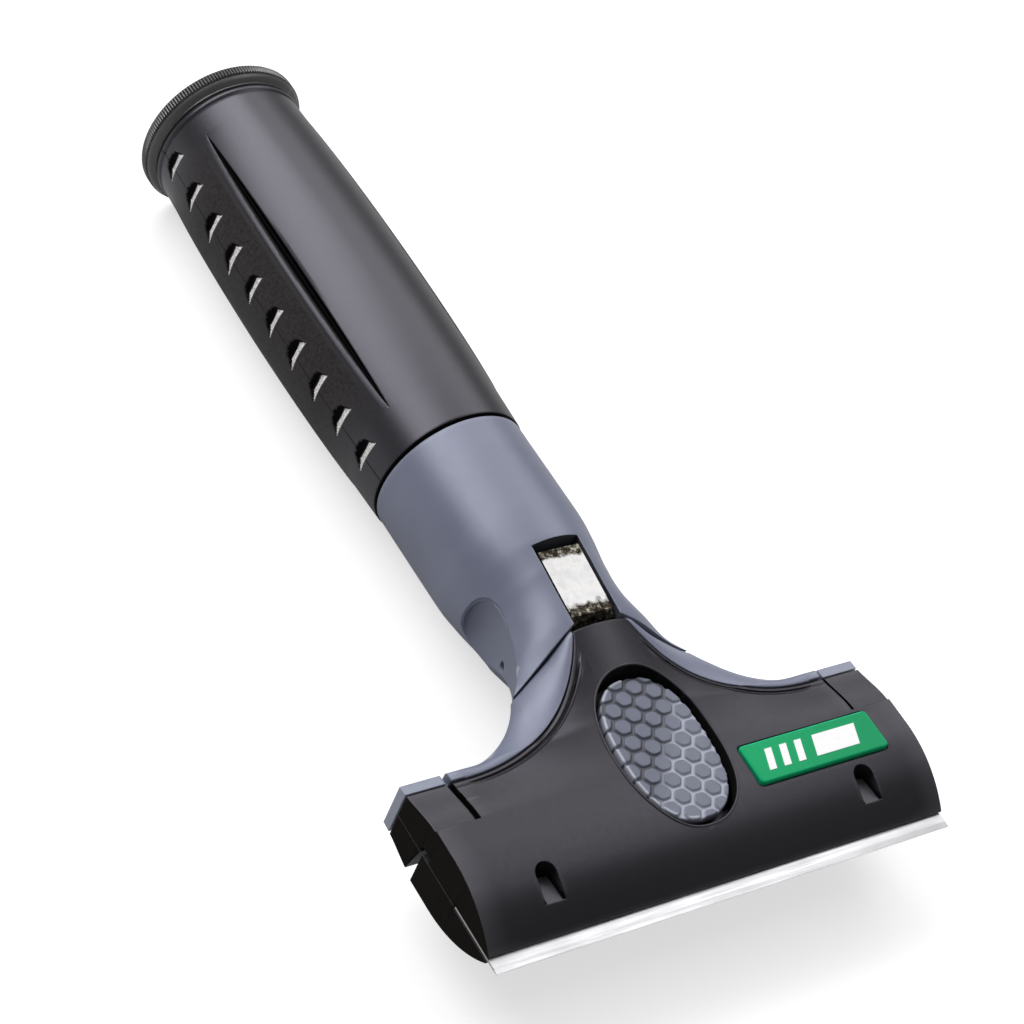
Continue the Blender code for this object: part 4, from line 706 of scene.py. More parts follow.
def ramp(name, centre):
    """Sloping tongue in a slot, highest at the front."""
    top = nose_height(SLOT_FRONT) - RAMP_DROP
    low = SLOT_FLOOR - GAP
    outline = ((SLOT_FRONT - GAP, low), (RAMP_BACK, low), (RAMP_BACK, RAMP_LOW), (SLOT_FRONT, top),
               (SLOT_FRONT - GAP, top - GAP))
    return flat_solid(name, outline, centre - RAMP_HALF_WIDTH, centre + RAMP_HALF_WIDTH, side_view=True)


def pegs(name, radius, low, high):
    """Two pegs that the blade's rear notches slide around."""
    return upright_pair(name, radius, PEG_X, BLADE_DEPTH - PEG_INSET, low, high)


def badge_height():
    return top_height(0, BADGE_CENTRE_Y) + BADGE_PROUD


def badge_recess():
    grown = rounded_rectangle((BADGE_CENTRE_X, BADGE_CENTRE_Y), BADGE_HALF_LENGTH + GAP,
                              BADGE_HALF_WIDTH + GAP, BADGE_CORNER + GAP)
    floor = badge_height() - BADGE_THICKNESS - GAP
    return flat_solid("badge_recess", grown, floor, floor + NECK_RADIUS)


def swing_relief():
    """Slanting cut that the jaw's rear edge swings into."""
    slope = math.tan(JAW_OPEN)
    start = JAW_REAR + SEAM
    deep = NECK_RADIUS
    outline = ((start - OVERRUN, OVERRUN), (start - OVERRUN, -deep),
               (start + slope * (HINGE_Z + deep), -deep), (start, HINGE_Z), (start, OVERRUN))
    return flat_solid("swing_relief", outline, *both(HEAD_WIDTH), side_view=True)


def tail(name, side):
    """Arm behind the hinge that the jaw spring pushes down."""
    under = TAIL_TOP - TAIL_THICKNESS
    outline = ((TAIL_ROOT, JAW_FLOOR), (JAW_REAR - GAP, JAW_FLOOR), (JAW_REAR + GAP, under),
               (TAIL_END, under), (TAIL_END, TAIL_TOP), (TAIL_ROOT, TAIL_TOP))
    across = span(side, TAIL_X - TAIL_HALF_WIDTH, TAIL_X + TAIL_HALF_WIDTH)
    return flat_solid(name, outline, *across, side_view=True)


def knuckle(name, side):
    """Lug that carries the jaw on its hinge pin."""
    outline = half_circle(HINGE_Y, HINGE_Z, KNUCKLE_RADIUS, LUG_STEPS)
    foot = -HALF_SEAM - 2 * GAP
    outline += [(HINGE_Y - KNUCKLE_RADIUS, foot), (JAW_REAR - GAP, foot), (JAW_REAR - GAP, 0)]
    return flat_solid(name, outline, *span(side, LUG_INNER_X, LUG_OUTER_X), side_view=True)


def screw_head_top():
    return SCREW_RECESS + SCREW_HEAD_HEIGHT - top_height(SCREW_X, SCREW_Y)


def frame_rear(x):
    """Rear edge of the frame, behind which the neck begins."""
    if abs(x) >= ARM_ROOT_X:
        return HEAD_REAR
    return min(edge_y(CONTOUR, x), joint_y(x) - GAP / 2)


def spot(radius, y, angle):
    """Point on a circle round the tool's long axis."""
    return (radius * math.cos(angle), y, radius * math.sin(angle))


def circle(radius, y):
    return [spot(radius, y, math.tau * (k + 0.5) / SECTION_POINTS) for k in range(SECTION_POINTS)]


def joint_tool():
    """Everything in front of the line where the neck ends."""
    far = HEAD_HALF_WIDTH
    shift = GAP / 2
    outline = [(-far, SHELL_FRONT), (far, SHELL_FRONT), (far, joint_y(far) + shift),
               (JOINT_HALF_FLAT, JOINT_Y + shift), (-JOINT_HALF_FLAT, JOINT_Y + shift),
               (-far, joint_y(far) + shift)]
    return flat_solid("joint_tool", outline, *both(NECK_RADIUS + OVERRUN))


def corner_scoop(name, side):
    """Slanting round tool that thins the corner below the mid plane."""
    rings = []
    for z in (NECK_RADIUS, -NECK_RADIUS):
        middle = side * (SCOOP_X - SCOOP_SLANT * (SCOOP_TOP - z))
        rings.append([(middle + x, SCOOP_Y + y, z) for x, _, y in circle(SCOOP_RADIUS, 0)])
    return loft(name, rings)


DATUM = Vector((0, -OVERALL_LENGTH / 2, RING_RADIUS))


# Skins


def box(name, *ranges):
    """Box over a range across, along and up."""
    bm = bmesh.new()
    bmesh.ops.create_cube(bm, size=1)
    bmesh.ops.scale(bm, vec=[high - low for low, high in ranges], verts=bm.verts)
    bmesh.ops.translate(bm, vec=[(low + high) / 2 for low, high in ranges], verts=bm.verts)
    return object_from(bm, name)


def flat_solid(name, outline, low, high, side_view=False):
    """Extrude a flat outline; a side view is drawn in Y and Z and runs along X."""
    curve = bpy.data.curves.new(name, "CURVE")
    curve.dimensions = "2D"
    curve.fill_mode = "BOTH"
    curve.extrude = (high - low) / 2
    spline = curve.splines.new("POLY")
    spline.points.add(len(outline) - 1)
    for point, (a, b) in zip(spline.points, outline):
        point.co = (a, b, 0, 1)
    spline.use_cyclic_u = True
    mesh = mesh_of_curve(add_object(name + "_outline", curve), name)
    mesh.transform(Matrix.Translation((0, 0, (low + high) / 2)))
    if side_view:
        mesh.transform(Matrix(((0, 0, 1, 0), (1, 0, 0, 0), (0, 1, 0, 0), (0, 0, 0, 1))))
    return add_object(name, mesh)


def loft(name, rings, loop=False):
    """Skin a row of rings with equal counts; a loop joins the last to the first."""
    bm = bmesh.new()
    rows = [[bm.verts.new(point) for point in ring] for ring in rings]
    pairs = list(zip(rows, rows[1:]))
    if loop:
        pairs.append((rows[-1], rows[0]))
    for near, far in pairs:
        sheet(bm, near + near[:1], far + far[:1])
    if not loop:
        bm.faces.new(rows[0])
        bm.faces.new(rows[-1])
    return object_from(bm, name)


def add_object(name, data):
    obj = bpy.data.objects.new(name, data)
    bpy.context.scene.collection.objects.link(obj)
    return obj


def finish_skin(obj, finish, body, nodes, angle=math.radians(30), weighted=True):
    """Apply the cuts, drop their tools, move the skin to the world and dress it."""
    tools = [change.object for change in obj.modifiers if change.type == "BOOLEAN"]
    bpy.context.view_layer.update()
    mesh = bpy.data.meshes.new_from_object(obj.evaluated_get(bpy.context.evaluated_depsgraph_get()))
    obj.modifiers.clear()
    old = obj.data
    obj.data = mesh
    bpy.data.meshes.remove(old)
    for tool in tools:
        if tool.name in bpy.data.objects:
            bpy.data.objects.remove(tool)
    mesh.transform(Matrix.Translation(DATUM))
    mesh.materials.clear()
    mesh.materials.append(finish)
    mesh.shade_smooth()
    mesh.set_sharp_from_angle(angle=angle)
    if weighted:
        tidy = obj.modifiers.new("even_shading", "WEIGHTED_NORMAL")
        tidy.keep_sharp = True
        tidy.weight = 80
    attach(obj, body)
    if nodes:
        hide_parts(*nodes)
    return obj


def dress_faces(obj, finish, chosen):
    """Give the faces that a rule picks, from place and direction, a second finish."""
    obj.data.materials.append(finish)
    number = len(obj.data.materials) - 1
    for face in obj.data.polygons:
        if chosen(Vector(face.center) - DATUM, face.normal):
            face.material_index = number


def end_face(place, normal):
    """Flat outer end of the head, which gets a painted-shade finish."""
    return abs(place.x) > BLOCK_X and abs(normal.x) > END_LIMIT


def hole_face(place, normal):
    """Wall of the button's hole, which gets near-black painted shade."""
    near = abs(place.x) < HOLE_HALF_WIDTH + GAP and abs(place.y - BUTTON_Y) < HOLE_HALF_LENGTH + GAP
    return near and normal.z < WALL_LIMIT


def ramp_face(place, normal):
    """Slope of a ramp, sunk in its slot, which gets a lighter finish as painted light."""
    near = abs(abs(place.x) - PEG_X) < RAMP_HALF_WIDTH and SLOT_FRONT < place.y < RAMP_BACK
    sloping = RAMP_LIMITS[0] < normal.z < RAMP_LIMITS[1]
    return near and sloping and place.z < nose_height(place.y) - RAMP_DROP


def window_face(place, normal):
    """Wall of the window in the neck, which gets a darker finish as painted shade."""
    near = abs(place.x) < WINDOW_HALF_WIDTH + GAP and place.y < WINDOW_END + GAP
    return near and place.z > SPINE_HALF_HEIGHT and normal.z < WALL_LIMIT


def cover_stations(reach=HEAD_HALF_WIDTH):
    """Stations across a cover, close together where its edge curves."""
    places = evenly(0, APEX_HALF_WIDTH, APEX_STATIONS)
    places += [bezier(COVER_EDGE, t)[0] for t in evenly(0, 1, CURVE_STATIONS)[1:]]
    places += [BLOCK_X, (BLOCK_X + HEAD_HALF_WIDTH) / 2]
    return mirrored([x for x in places if x < reach] + [reach])


def frame_stations():
    """Stations across the frame, close together where its outline curves."""
    places = evenly(0, APEX_HALF_WIDTH, FRAME_APEX_STATIONS)
    places += evenly(APEX_HALF_WIDTH, JOINT_SIDE_X, JOINT_STATIONS)[1:-1]
    curve = [bezier(CONTOUR, t)[0] for t in evenly(0, 1, CURVE_STATIONS)]
    places += [x for x in curve if x > JOINT_SIDE_X - SEAM]
    places += [WEB_HALF_WIDTH, WEB_HALF_WIDTH + GAP / 2, (ARM_ROOT_X + HEAD_HALF_WIDTH) / 2]
    return mirrored(places + [HEAD_HALF_WIDTH])


def edge_slope(x):
    """How steep the cover's rear edge is in plan, as a length factor."""
    rise = (cover_y(x + SLOPE_STEP) - cover_y(x)) / SLOPE_STEP if abs(x) > APEX_HALF_WIDTH else 0
    return min(SLOPE_LIMIT, math.sqrt(1 + rise * rise))


def nose_rows():
    """Rows over the rounded nose, evenly spread along its curve."""
    turn = math.asin((NOSE_END - SHELL_FRONT) / NOSE_RADIUS)
    return [NOSE_END - NOSE_RADIUS * math.sin(turn * (1 - k / NOSE_ROWS)) for k in range(NOSE_ROWS)]


def cover_rows(front, inset=0.0, nose=False, line=False):
    """Rows from the nose or front to the cover's rear edge, with fine rows along the edge line."""
    def rows(x):
        places = nose_rows() if nose else []
        start = NOSE_END if nose else front
        rear = cover_y(x) - inset
        if not line:
            return places + evenly(start, rear, BODY_ROWS)
        factor = edge_slope(x)
        near = rear - EDGE_STEPS[-1] * factor
        places += evenly(start, near, BODY_ROWS)[:-1]
        return places + [rear - step * factor for step in reversed(EDGE_STEPS)]
    return rows


def lined_top(x, y):
    """Outer face of a cover, with its rounded rim and fine edge line."""
    inward = (cover_y(x) - y) / edge_slope(x)
    height = top_height(x, y)
    height -= EDGE_DROP * rounding(max(0, 1 - inward / EDGE_DROP))
    off = abs(inward - EDGE_BAND) / LINE_HALF_WIDTH
    fade = smooth((abs(x) - APEX_HALF_WIDTH) / LINE_FADE) * smooth((BLOCK_X - abs(x)) / (2 * LINE_FADE))
    if off < 1:
        height -= fade * LINE_DEPTH * (1 - off * off)
    elif 0 < inward - EDGE_BAND < 3 * LINE_HALF_WIDTH:
        height += fade * LINE_RISE * math.sin(math.pi * (off - 1) / 2)
    return height


def frame_rows(x):
    """Rows of the frame, crowded along both edges of its rim."""
    rear = frame_rear(x)
    front = WEB_FRONT if abs(x) <= WEB_HALF_WIDTH else COVER_REAR + GAP + GAP / 2
    inner = max(front + CROWN_EDGE, min(cover_y(x) + GAP, rear - 2 * CROWN_EDGE))
    places = evenly(front, inner, CROWN_ROWS)[:-1]
    near = rear - RIM_ROUND
    places += [inner + (near - inner) * smooth(k / BAND_ROWS) for k in range(BAND_ROWS)]
    return places + [rear - RIM_ROUND * (1 - math.sin(turn)) for turn in evenly(0, math.pi / 2, RIM_ROWS)]


def frame_top(x, y):
    """Top of the frame: a crowned rim with its rear edge rounded off."""
    rear = frame_rear(x)
    inner = cover_y(x) + GAP
    height = top_height(x, y) - RIM_ROUND * rounding(max(0, y - (rear - RIM_ROUND)) / RIM_ROUND)
    if y > inner and rear - inner > 2 * CROWN_EDGE:
        share = (y - inner) / (rear - inner)
        height += CROWN_RISE * math.sin(math.pi * share) ** CROWN_POWER
        out = smooth((abs(x) - APEX_HALF_WIDTH) / RIM_FALL_REACH)
        out *= smooth((ARM_ROOT_X - abs(x)) / RIM_FALL_REACH)
        height -= RIM_FALL * out * share * share
    return height


def flipped(obj):
    """Turn a piece upside down."""
    obj.data.transform(Matrix.Diagonal((1, 1, -1, 1)))
    obj.data.flip_normals()
    return obj


def block_cuts(piece, sign):
    """Slightly sunken end blocks with a narrow slit along their inner side."""
    rows = evenly(BLOCK_FRONT, HEAD_REAR + OVERRUN, BAND_ROWS)
    for side_name, side in SIDES:
        label = piece.name + ("_top_" if sign > 0 else "_under_") + side_name
        for kind, outer, depth in (("_step", HEAD_HALF_WIDTH + OVERRUN, STEP_DEPTH),
                                   ("_slit", BLOCK_X + SLIT_WIDTH, SLIT_DEPTH)):
            places = sorted((side * BLOCK_X, side * (BLOCK_X + outer) / 2, side * outer))
            tool = plate(label + kind, places, lambda x: rows,
                         lambda x, y: top_height(min(abs(x), HEAD_HALF_WIDTH), min(y, HEAD_REAR)) - depth,
                         lambda x, y: NECK_RADIUS)
            cut(piece, tool if sign > 0 else flipped(tool))


def frame_room(label, sign):
    """Room in a cover for the frame's web and spine."""
    return (box(label + "_web_seat", both(CAVITY_HALF_WIDTH), (WEB_FRONT - GAP, JOINT_Y),
                span(sign, -OVERRUN, WEB_HALF_THICKNESS + GAP)),
            box(label + "_apex_notch", both(SPINE_HALF_WIDTH + GAP), (SPINE_FRONT - GAP, JOINT_Y + OVERRUN),
                span(sign, -OVERRUN, SPINE_HALF_HEIGHT + GAP)))


def skin_upper_shell():
    shell = plate("upper_shell_skin", cover_stations(), cover_rows(SHELL_FRONT, nose=True, line=True),
                  HALF_SEAM, lined_top)
    cut(shell, cavity("upper_cavity", CAVITY_FRONT), *frame_room("upper", 1),
        box("leaf_notch", both(LEAF_HALF_WIDTH + GAP), (APEX_NOTCH_FRONT, JOINT_Y + OVERRUN),
            (0, APEX_NOTCH_TOP)),
        flat_solid("button_hole", hole_outline(), HOLE_FLOOR, HOLE_FLOOR + NECK_RADIUS), badge_recess(),
        blade_pocket("upper_blade_pocket"))
    block_cuts(shell, 1)
    for name, side in SIDES:
        centre = side * PEG_X
        cut(shell, flat_solid("slot_" + name, slot_outline(centre), SLOT_FLOOR, SLOT_FLOOR + NECK_RADIUS))
        join(shell, ramp("ramp_" + name, centre))
        cut(shell,
            box("lug_room_" + name, span(side, LUG_INNER_X - GAP, LUG_OUTER_X + GAP),
                (HINGE_Y - KNUCKLE_RADIUS - GAP, HINGE_Y + KNUCKLE_RADIUS + GAP),
                (-OVERRUN, HINGE_Z + KNUCKLE_RADIUS + GAP)),
            box("end_notch_" + name, span(side, PIN_OUTER_X, HEAD_WIDTH),
                (HINGE_Y - END_NOTCH_FRONT, HINGE_Y + END_NOTCH_REAR), (-OVERRUN, END_NOTCH_TOP)))
    join(shell, pegs("blade_pegs", PEG_RADIUS, -BLADE_THICKNESS / 2, POCKET_HALF_HEIGHT + GAP))
    finish_skin(shell, BLACK, "handle", ["upper_shell"])
    dress_faces(shell, END_SHADE, end_face)
    dress_faces(shell, SHADE, hole_face)
    dress_faces(shell, RAMP_LIGHT, ramp_face)


def skin_hole():
    """Fine bead round the button's hole, and the collar that guides the button, in near-black painted
    shade.
    """
    path = [Vector((x, y, top_height(x, y))) for x, y in hole_outline(BEAD_PIPE)]
    bead = pipe("hole_bead", path, [BEAD_PIPE] * len(path), loop=True)
    finish_skin(bead, BLACK, "handle", [], math.radians(50), False)
    rings = []
    inner, outer = COLLAR_PLAY, COLLAR_WALL
    for grow, z in ((inner, None), (inner, COLLAR_BOTTOM), (outer, COLLAR_BOTTOM), (outer, None)):
        rings.append([(x, y, z or top_height(x, y) - SHELL_WALL + GAP) for x, y in hole_outline(grow)])
    collar = loft("button_collar", rings, loop=True)
    finish_skin(collar, SHADE, "handle", [])


def skin_lower_cover():
    cover = flipped(plate("lower_cover_skin", cover_stations(), cover_rows(JAW_REAR, line=True),
                          HALF_SEAM, lined_top))
    cut(cover, flipped(cavity("lower_cavity", JAW_REAR - OVERRUN)), *frame_room("lower", -1),
        swing_relief())
    block_cuts(cover, -1)
    for name, side in SIDES:
        cut(cover, box("lower_lug_room_" + name, span(side, LUG_INNER_X - GAP, LUG_OUTER_X + GAP),
                       (JAW_REAR - OVERRUN, HINGE_Y + KNUCKLE_RADIUS + 2 * GAP),
                       (-KNUCKLE_RADIUS, OVERRUN)))
    join(cover, screw_tools("lower_bosses", BOSS_RADIUS, -boss_end(), -WEB_HALF_THICKNESS - 2 * GAP))
    cut(cover, screw_tools("lower_screw_holes", SCREW_RADIUS + GAP, -NECK_RADIUS, 0),
        screw_tools("screw_recesses", SCREW_HEAD_RADIUS + GAP, -NECK_RADIUS, screw_head_top() + GAP))
    finish_skin(cover, BLACK, "handle", ["lower_cover"])
    dress_faces(cover, END_SHADE, end_face)


def skin_jaw():
    jaw = flipped(plate("lower_jaw_skin", mirrored([0, HEAD_HALF_WIDTH / 2, HEAD_HALF_WIDTH]),
                        lambda x: nose_rows() + [NOSE_END, JAW_REAR], HALF_SEAM, top_height))
    cut(jaw, flipped(plate("jaw_cavity", mirrored([0, CAVITY_HALF_WIDTH / 2, CAVITY_HALF_WIDTH]),
                           lambda x: (CAVITY_FRONT, NOSE_END, JAW_REAR + OVERRUN), -OVERRUN,
                           lambda x, y: nose_height(y) - SHELL_WALL)))
    join(jaw, box("anvil", both(PLUNGER_HALF_WIDTH + ANVIL_MARGIN),
                  (CAVITY_FRONT - GAP, PLUNGER_REAR + ANVIL_MARGIN), (JAW_FLOOR, ANVIL_TOP)))
    for name, side in SIDES:
        rib = box("jaw_rib_" + name, span(side, JAW_RIB_X - RIB_HALF_WIDTH, JAW_RIB_X + RIB_HALF_WIDTH),
                  (CAVITY_FRONT - GAP, JAW_REAR - GAP), (JAW_FLOOR, JAW_RIB_TOP))
        join(jaw, tail("tail_" + name, side), rib, knuckle("knuckle_" + name, side))
    cut(jaw, blade_pocket("jaw_blade_pocket"),
        pegs("peg_room", PEG_RADIUS + GAP, -POCKET_HALF_HEIGHT - 2 * GAP, OVERRUN))
    finish_skin(jaw, BLACK, "jaw", ["lower_jaw"])
    dress_faces(jaw, END_SHADE, end_face)


def skin_frame():
    rim = plate("head_frame_skin", frame_stations(), frame_rows, lambda x, y: -frame_top(x, y), frame_top)
    for name, sign in (("upper_pocket", 1), ("lower_pocket", -1)):
        pocket = plate(name, cover_stations(HEAD_HALF_WIDTH + OVERRUN),
                       cover_rows(WEB_FRONT - OVERRUN, -GAP), WEB_HALF_THICKNESS,
                       lambda x, y: NECK_RADIUS + OVERRUN)
        cut(rim, pocket if sign > 0 else flipped(pocket))
    cut(rim, box("apex_gap", both(APEX_HALF_WIDTH + GAP), (APEX_Y - OVERRUN, JOINT_Y + OVERRUN),
                 both(NECK_RADIUS + OVERRUN)))
    cut(rim, *(corner_scoop("frame_scoop_" + name, side) for name, side in SIDES))
    join(rim, box("spine", both(SPINE_HALF_WIDTH), (SPINE_FRONT, TENON_END), both(SPINE_HALF_HEIGHT)))
    block_cuts(rim, 1)
    block_cuts(rim, -1)
    finish_skin(rim, BLUE_GREY, "handle", ["head_frame"])


def section(y):
    """Ring around the neck at one place along the tool."""
    proud = 1 + NECK_PROUD_SHARE * (1 - smooth((y - JOINT_SIDE_Y) / (WAIST_Y - JOINT_SIDE_Y)))
    width = half_width(y)
    near = 1 - smooth((y - JOINT_SIDE_Y) / NECK_FALL_REACH)
    ring = []
    for k in range(SECTION_POINTS):
        angle = math.tau * (k + 0.5) / SECTION_POINTS
        x = width * math.cos(angle)
        fall = RIM_FALL * near * smooth((abs(x) / width - NECK_FALL_START) / (1 - NECK_FALL_START))
        ring.append((x * proud, y, math.copysign(top_height(x, y) - fall, math.sin(angle)) * proud))
    return ring


def skin_neck():
    start = JOINT_SIDE_Y - WAIST_HALF_WIDTH / 4
    shoulder = GRIP_START - GAP
    rings = [section(y) for y in evenly(start, shoulder, NECK_ROWS)]
    rings += [circle(TUBE_RADIUS, shoulder), circle(TUBE_RADIUS, RING_END - GAP)]
    neck = loft("neck_skin", rings)
    front = start - OVERRUN
    reach = TENON_PIN_HALF_LENGTH + OVERRUN
    cut(neck, joint_tool(), socket_tool(),
        box("tenon_pocket", both(SPINE_HALF_WIDTH + GAP), (front, TENON_END + GAP),
            both(SPINE_HALF_HEIGHT + GAP)),
        box("window", both(WINDOW_HALF_WIDTH), (front, WINDOW_END),
            (SPINE_HALF_HEIGHT, NECK_RADIUS + OVERRUN)),
        rods("neck_pin_hole", TENON_PIN_RADIUS + GAP / 2,
             [[(x, TENON_PIN_Y, TENON_PIN_Z) for x in both(reach)]]))
    for name, side in SIDES:
        cut(neck, fine_hollow("thumb_hollow_" + name, side), crease("hollow_crease_" + name, side),
            corner_scoop("neck_scoop_" + name, side))
    finish_skin(neck, BLUE_GREY, "handle", ["neck_body"])
    dress_faces(neck, WINDOW_SHADE, window_face)


def hollow_frame(side):
    """Turn and place of the egg shape that scoops a thumb hollow."""
    place = (side * (half_width(HOLLOW_Y) + HOLLOW_OUT), HOLLOW_Y - HOLLOW_BACK, HOLLOW_Z)
    return Matrix.Translation(place) @ Matrix.Rotation(side * HOLLOW_TURN, 4, "Z")


def fine_hollow(name, side):
    """Shallow hollow scooped from the neck's side by an egg shape."""
    bm = bmesh.new()
    bmesh.ops.create_uvsphere(bm, u_segments=EGG_SEGMENTS, v_segments=EGG_SEGMENTS // 2, radius=1)
    bmesh.ops.scale(bm, vec=(HOLLOW_ACROSS, HOLLOW_ALONG, HOLLOW_UP), verts=bm.verts)
    bmesh.ops.transform(bm, matrix=hollow_frame(side), verts=bm.verts)
    return object_from(bm, name)


def side_point(side, y, z):
    """Point of the neck's side at one height."""
    return Vector((side * solve(lambda x: top_height(x, y), abs(z), 0, half_width(y)), y, z))


def hollow_rim(side, angle):
    """Point of a hollow's rim, seen from its middle at one angle."""
    back = hollow_frame(side).inverted()

    def point(reach):
        return side_point(side, HOLLOW_Y + reach * math.cos(angle), HOLLOW_Z + reach * math.sin(angle))

    def inside(reach):
        x, y, z = back @ point(reach)
        return (x / HOLLOW_ACROSS) ** 2 + (y / HOLLOW_ALONG) ** 2 + (z / HOLLOW_UP) ** 2

    return point(solve(inside, 1, 0, HOLLOW_ALONG))


def pipe(name, path, radii, loop=False):
    """Round bar along a path of points with a radius at each."""
    turns = [math.tau * k / PIPE_SIDES for k in range(PIPE_SIDES)]
    rings = []
    last = len(path) - 1
    for k, (point, radius) in enumerate(zip(path, radii)):
        before = path[k - 1] if loop or k else path[0]
        after = path[(k + 1) % len(path)] if loop or k < last else path[last]
        along = (after - before).normalized()
        across = along.cross(Vector((0, 0, 1))).normalized()
        up = across.cross(along)
        rings.append([point + radius * (math.cos(turn) * across + math.sin(turn) * up) for turn in turns])
    return loft(name, rings, loop=loop)


def crease(name, side):
    """Sharp line round the handle end of a hollow, fading at both ends."""
    shares = evenly(0, 1, CREASE_POINTS - 1)
    path = [hollow_rim(side, CREASE_START + (CREASE_END - CREASE_START) * share) for share in shares]
    parts = [CREASE_TIP + (1 - CREASE_TIP) * math.sin(math.pi * share) ** CREASE_POWER for share in shares]
    return pipe(name, path, [CREASE_RADIUS * part for part in parts])


def socket_tool():
    """Tapered pole socket, narrower where it enters the neck."""
    return loft("pole_socket", [
        circle(SOCKET_TIP_RADIUS, SOCKET_END), circle(SOCKET_TIP_RADIUS, GRIP_START),
        circle(SOCKET_STEP_RADIUS, GRIP_START + SOCKET_STEP_RADIUS - SOCKET_TIP_RADIUS),
        circle(SOCKET_MOUTH_RADIUS, RING_END), circle(SOCKET_MOUTH_RADIUS, RING_END + OVERRUN)])


def angle_gap(a, b):
    """Smallest angle between two directions."""
    return abs((a - b + math.pi) % math.tau - math.pi)


def grip_angles():
    """Angles around the grip, close together over the notches and creases."""
    angles = []
    angle = 0.0
    while angle < math.tau:
        angles.append(angle)
        side = min(angle_gap(angle, 0), angle_gap(angle, math.pi))
        crease = abs(side - PANEL_ANGLE)
        fine = GRIP_STEP_FINE if side < SIDE_ZONE else GRIP_STEP_AROUND
        angle += GRIP_STEP_CREASE if crease < PANEL_ZONE else fine
    if math.tau - angles[-1] < GRIP_STEP_FINE / 2:
        angles.pop()
    return angles


def notch_relief(around, y):
    """Lens-shaped notch with a facet: its height, and its mark of painted highlight on the facet and
    painted shade on the curved wall.
    """
    nearest = round((y - NOTCH_FIRST) / NOTCH_PITCH)
    if abs(around) >= 1 or not 0 <= nearest < NOTCH_COUNT:
        return 0.0, 0.0
    spread = 1 - around * around
    along = y - (NOTCH_FIRST + NOTCH_PITCH * nearest - NOTCH_FACET)
    facet = NOTCH_FACET * min(1, FACET_LOW_LEAN * (1 + around), FACET_HIGH_LEAN * (1 - around))
    back = facet + (NOTCH_LONG - NOTCH_FACET) * spread ** NOTCH_END_POWER
    if 0 < along <= facet:
        return -NOTCH_DEEP * spread * along / facet, 1.0
    if facet < along < back:
        return -NOTCH_DEEP * spread * (1 - (along - facet) / (back - facet)) ** NOTCH_RISE_POWER, -1.0
    return 0.0, 0.0


def panel_relief(across, y):
    """Ridge, long crease and its lip: height, painted shade in the crease and share of the side panel."""
    fade = math.sin(math.pi * (y - PANEL_START) / (PANEL_END - PANEL_START)) ** PANEL_FADE_POWER
    wide = CRESCENT_WIDTH * fade
    off = RIDGE_RISE * fade * math.exp(-abs(across) / RIDGE_REACH)
    mark = 0.0
    panel = min(1, PANEL_FULL * fade) * smooth(0.5 - across / LIP_WIDTH)
    if abs(across) < wide:
        share = (across / wide + 1) / 2
        (fall, climb), (dark, light) = CRESCENT_WALLS, CRESCENT_SHADE
        off -= CRESCENT_DEPTH * fade * min(smooth(share / fall), smooth((1 - share) / climb))
        mark = -smooth(share / dark) * smooth((1 - share) / light)
    elif -LIP_WIDTH * 2 < across + wide < 0:
        off += LIP_RISE * fade * math.sin(math.pi * (-across - wide) / (2 * LIP_WIDTH))
        panel *= LIP_PANEL
    return off, mark, panel


def grip_relief(angle, y):
    """How far the grip's surface stands off its barrel, its mark of painted shade and highlight with a dark
    parting line, and its side panel.
    """
    radius = grip_radius(y)
    side = min(angle_gap(angle, 0), angle_gap(angle, math.pi))
    rise = math.asin(max(-1.0, min(1.0, math.sin(angle))))
    off, mark = notch_relief((rise - NOTCH_TILT) * radius / NOTCH_REACH, y)
    panel = 0.0
    line = abs(rise - PARTING_TILT) * radius
    if line < PARTING_WIDTH and off == 0:
        off -= PARTING_DEPTH * (1 - line / PARTING_WIDTH)
        mark = PARTING_MARK
    if PANEL_START < y < PANEL_END:
        extra, dark, panel = panel_relief((side - PANEL_ANGLE) * radius, y)
        off += extra
        mark = dark or mark
    bead = abs(y - BEAD_CENTRE) / BEAD_HALF_WIDTH
    if bead < 1:
        off += BEAD_RISE * math.sqrt(1 - bead * bead)
    elif bead < BEAD_FOOT:
        off -= BEAD_RISE * (BEAD_FOOT - bead)
    return off, mark, panel


def paint(skin, **marks):
    """Give a skin named values, one for each of its points."""
    for name, values in marks.items():
        layer = skin.data.attributes.new(name, "FLOAT", "POINT")
        for item, value in zip(layer.data, values):
            item.value = value


def skin_grip():
    angles = grip_angles()
    inner = TUBE_RADIUS + GAP
    rows = int((GRIP_END - GRIP_START) / GRIP_ROW)
    rings = [[spot(inner, GRIP_START, a) for a in angles]]
    marks = [0.0] * len(angles)
    panels = [0.0] * len(angles)
    for y in evenly(GRIP_START, GRIP_END, rows):
        edge = min(y - GRIP_START, GRIP_END - y)
        drop = GRIP_EDGE_ROUND * rounding(max(0, 1 - edge / GRIP_EDGE_ROUND))
        ring = []
        for a in angles:
            off, mark, panel = grip_relief(a, y)
            # Painted shadow along the grip's joint with the neck.
            if y < GRIP_START + JOINT_SHADOW:
                mark = -1.0
            ring.append(spot(grip_radius(y) + off - drop, y, a))
            marks.append(mark)
            panels.append(panel)
        rings.append(ring)
    rings.append([spot(inner, GRIP_END, a) for a in angles])
    grip = loft("grip_skin", rings, loop=True)
    paint(grip, mark=marks, panel=panels)
    finish_skin(grip, GRIP_BLACK, "handle", ["grip_sleeve"], math.radians(50), False)


